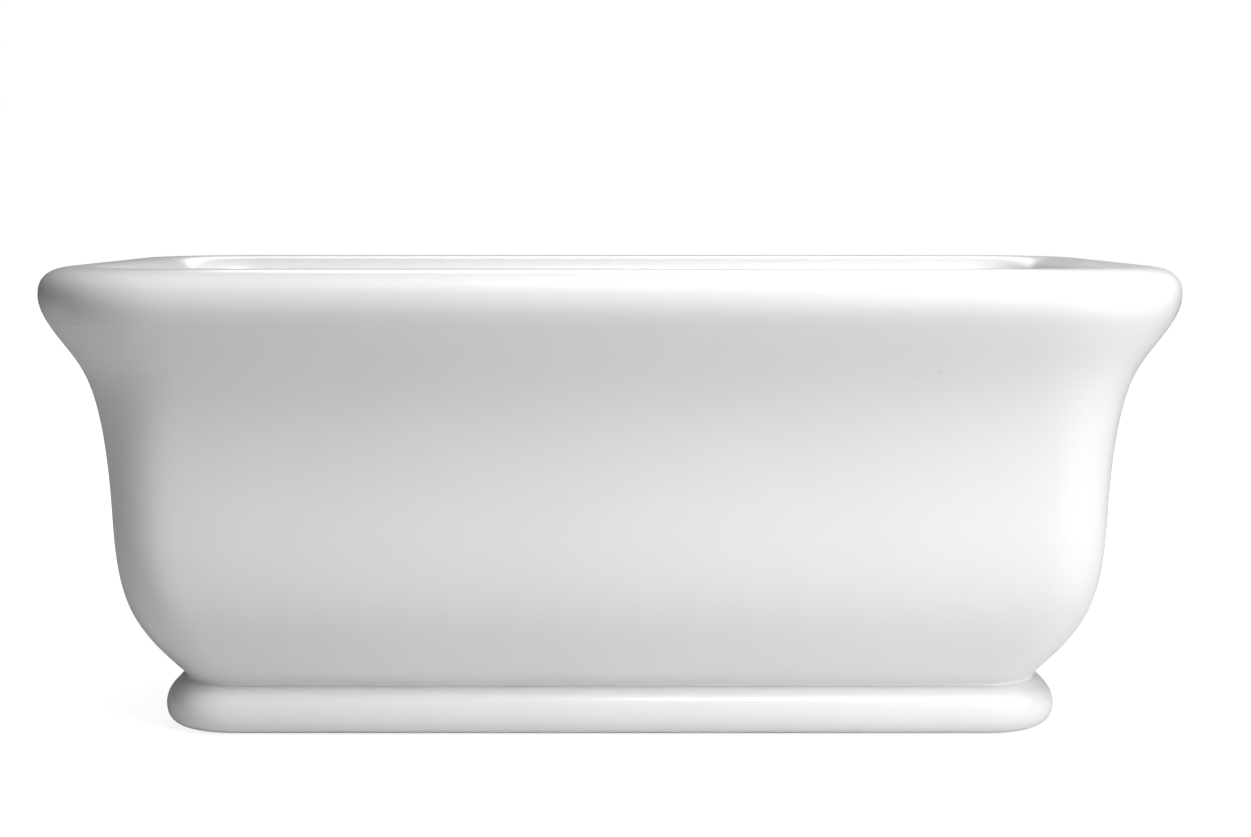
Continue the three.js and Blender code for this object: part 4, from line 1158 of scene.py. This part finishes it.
# ------------------------------------------------------------------ stage and light
def stage_material(name, colour, glow, far=None):
    m, nt, b = material(name)
    v = coords(nt)
    nt.links.new(ramp(nt, noise(nt, v, 1.2, 2), [(0.3, tuple(c * 0.99 for c in colour)), (0.7, colour)]), b.inputs["Base Color"])
    b.inputs["Roughness"].default_value = 0.9
    b.inputs["Specular IOR Level"].default_value = 0.1
    b.inputs["Emission Color"].default_value = (1, 1, 1, 1)
    b.inputs["Emission Strength"].default_value = glow
    if far:
        away = nt.nodes.new("ShaderNodeVectorMath")
        away.operation = "LENGTH"
        nt.links.new(v, away.inputs[0])
        reach = nt.nodes.new("ShaderNodeMapRange")
        for name_, value in zip(("From Min", "From Max", "To Min", "To Max"), (1.0, 2.0, glow, far)):
            reach.inputs[name_].default_value = value
        nt.links.new(away.outputs["Value"], reach.inputs["Value"])
        nt.links.new(reach.outputs["Result"], b.inputs["Emission Strength"])
    return m


def plane(name, half, z, mat):
    me = bpy.data.meshes.new(name)
    me.from_pydata([(-half, -half, z), (half, -half, z), (half, half, z), (-half, half, z)], [], [(0, 1, 2, 3)])
    o = bpy.data.objects.new(name, me)
    SCENE.collection.objects.link(o)
    me.materials.append(mat)
    return o


# The pale floor that is seen, and one just under it that only sends light back up to the bath
floor = plane("stage_floor", 14, 0.0, stage_material("pale_floor", (0.9, 0.9, 0.9), 0.84, 1.05))
floor.visible_diffuse = floor.visible_glossy = floor.visible_transmission = floor.visible_shadow = False
bounce = plane("stage_bounce", 14, -0.001, stage_material("bounce_floor", (0.72, 0.72, 0.72), 0.0))
bounce.visible_camera = False


def dome():
    bm = bmesh.new()
    bmesh.ops.create_uvsphere(bm, u_segments=48, v_segments=24, radius=13.5)
    bmesh.ops.reverse_faces(bm, faces=bm.faces)
    me = bpy.data.meshes.new("stage_dome")
    bm.to_mesh(me)
    bm.free()
    o = bpy.data.objects.new("stage_dome", me)
    SCENE.collection.objects.link(o)
    me.materials.append(stage_material("pale_backdrop", (0.02, 0.02, 0.02), 1.0))
    o.visible_diffuse = o.visible_glossy = o.visible_transmission = o.visible_shadow = False


dome()


def area(name, at, look, size, power, colour=(1, 1, 1)):
    d = bpy.data.lights.new(name, "AREA")
    d.shape = "RECTANGLE"
    d.size, d.size_y = size
    d.energy = power
    d.color = colour
    o = bpy.data.objects.new(name, d)
    SCENE.collection.objects.link(o)
    o.location = at
    o.rotation_mode = "QUATERNION"
    o.rotation_quaternion = (Vector(look) - Vector(at)).to_track_quat("-Z", "Y")
    return o


area("key", (3.0, -2.4, 2.6), (0, 0, 0.35), (2, 2), 50)
area("top", (0.8, -1.6, 3.4), (0, 0, 0.35), (1.6, 1.2), 82)
area("side", (1.7, -1.7, 1.3), (0, 0, 0.35), (1, 1), 17.5)
area("left", (-3.5, -2.0, 1.5), (0, 0, 0.35), (2, 2), 5)
area("back", (0, 3.5, 3.0), (0, 0, 0.35), (3, 1.5), 37)

world = bpy.data.worlds.new("studio")
SCENE.world = world
world.use_nodes = True
bg = world.node_tree.nodes["Background"]
bg.inputs["Color"].default_value = (1, 1, 1, 1)
bg.inputs["Strength"].default_value = 0.06
SCENE.view_settings.view_transform = "Standard"
SCENE.view_settings.look = "None"
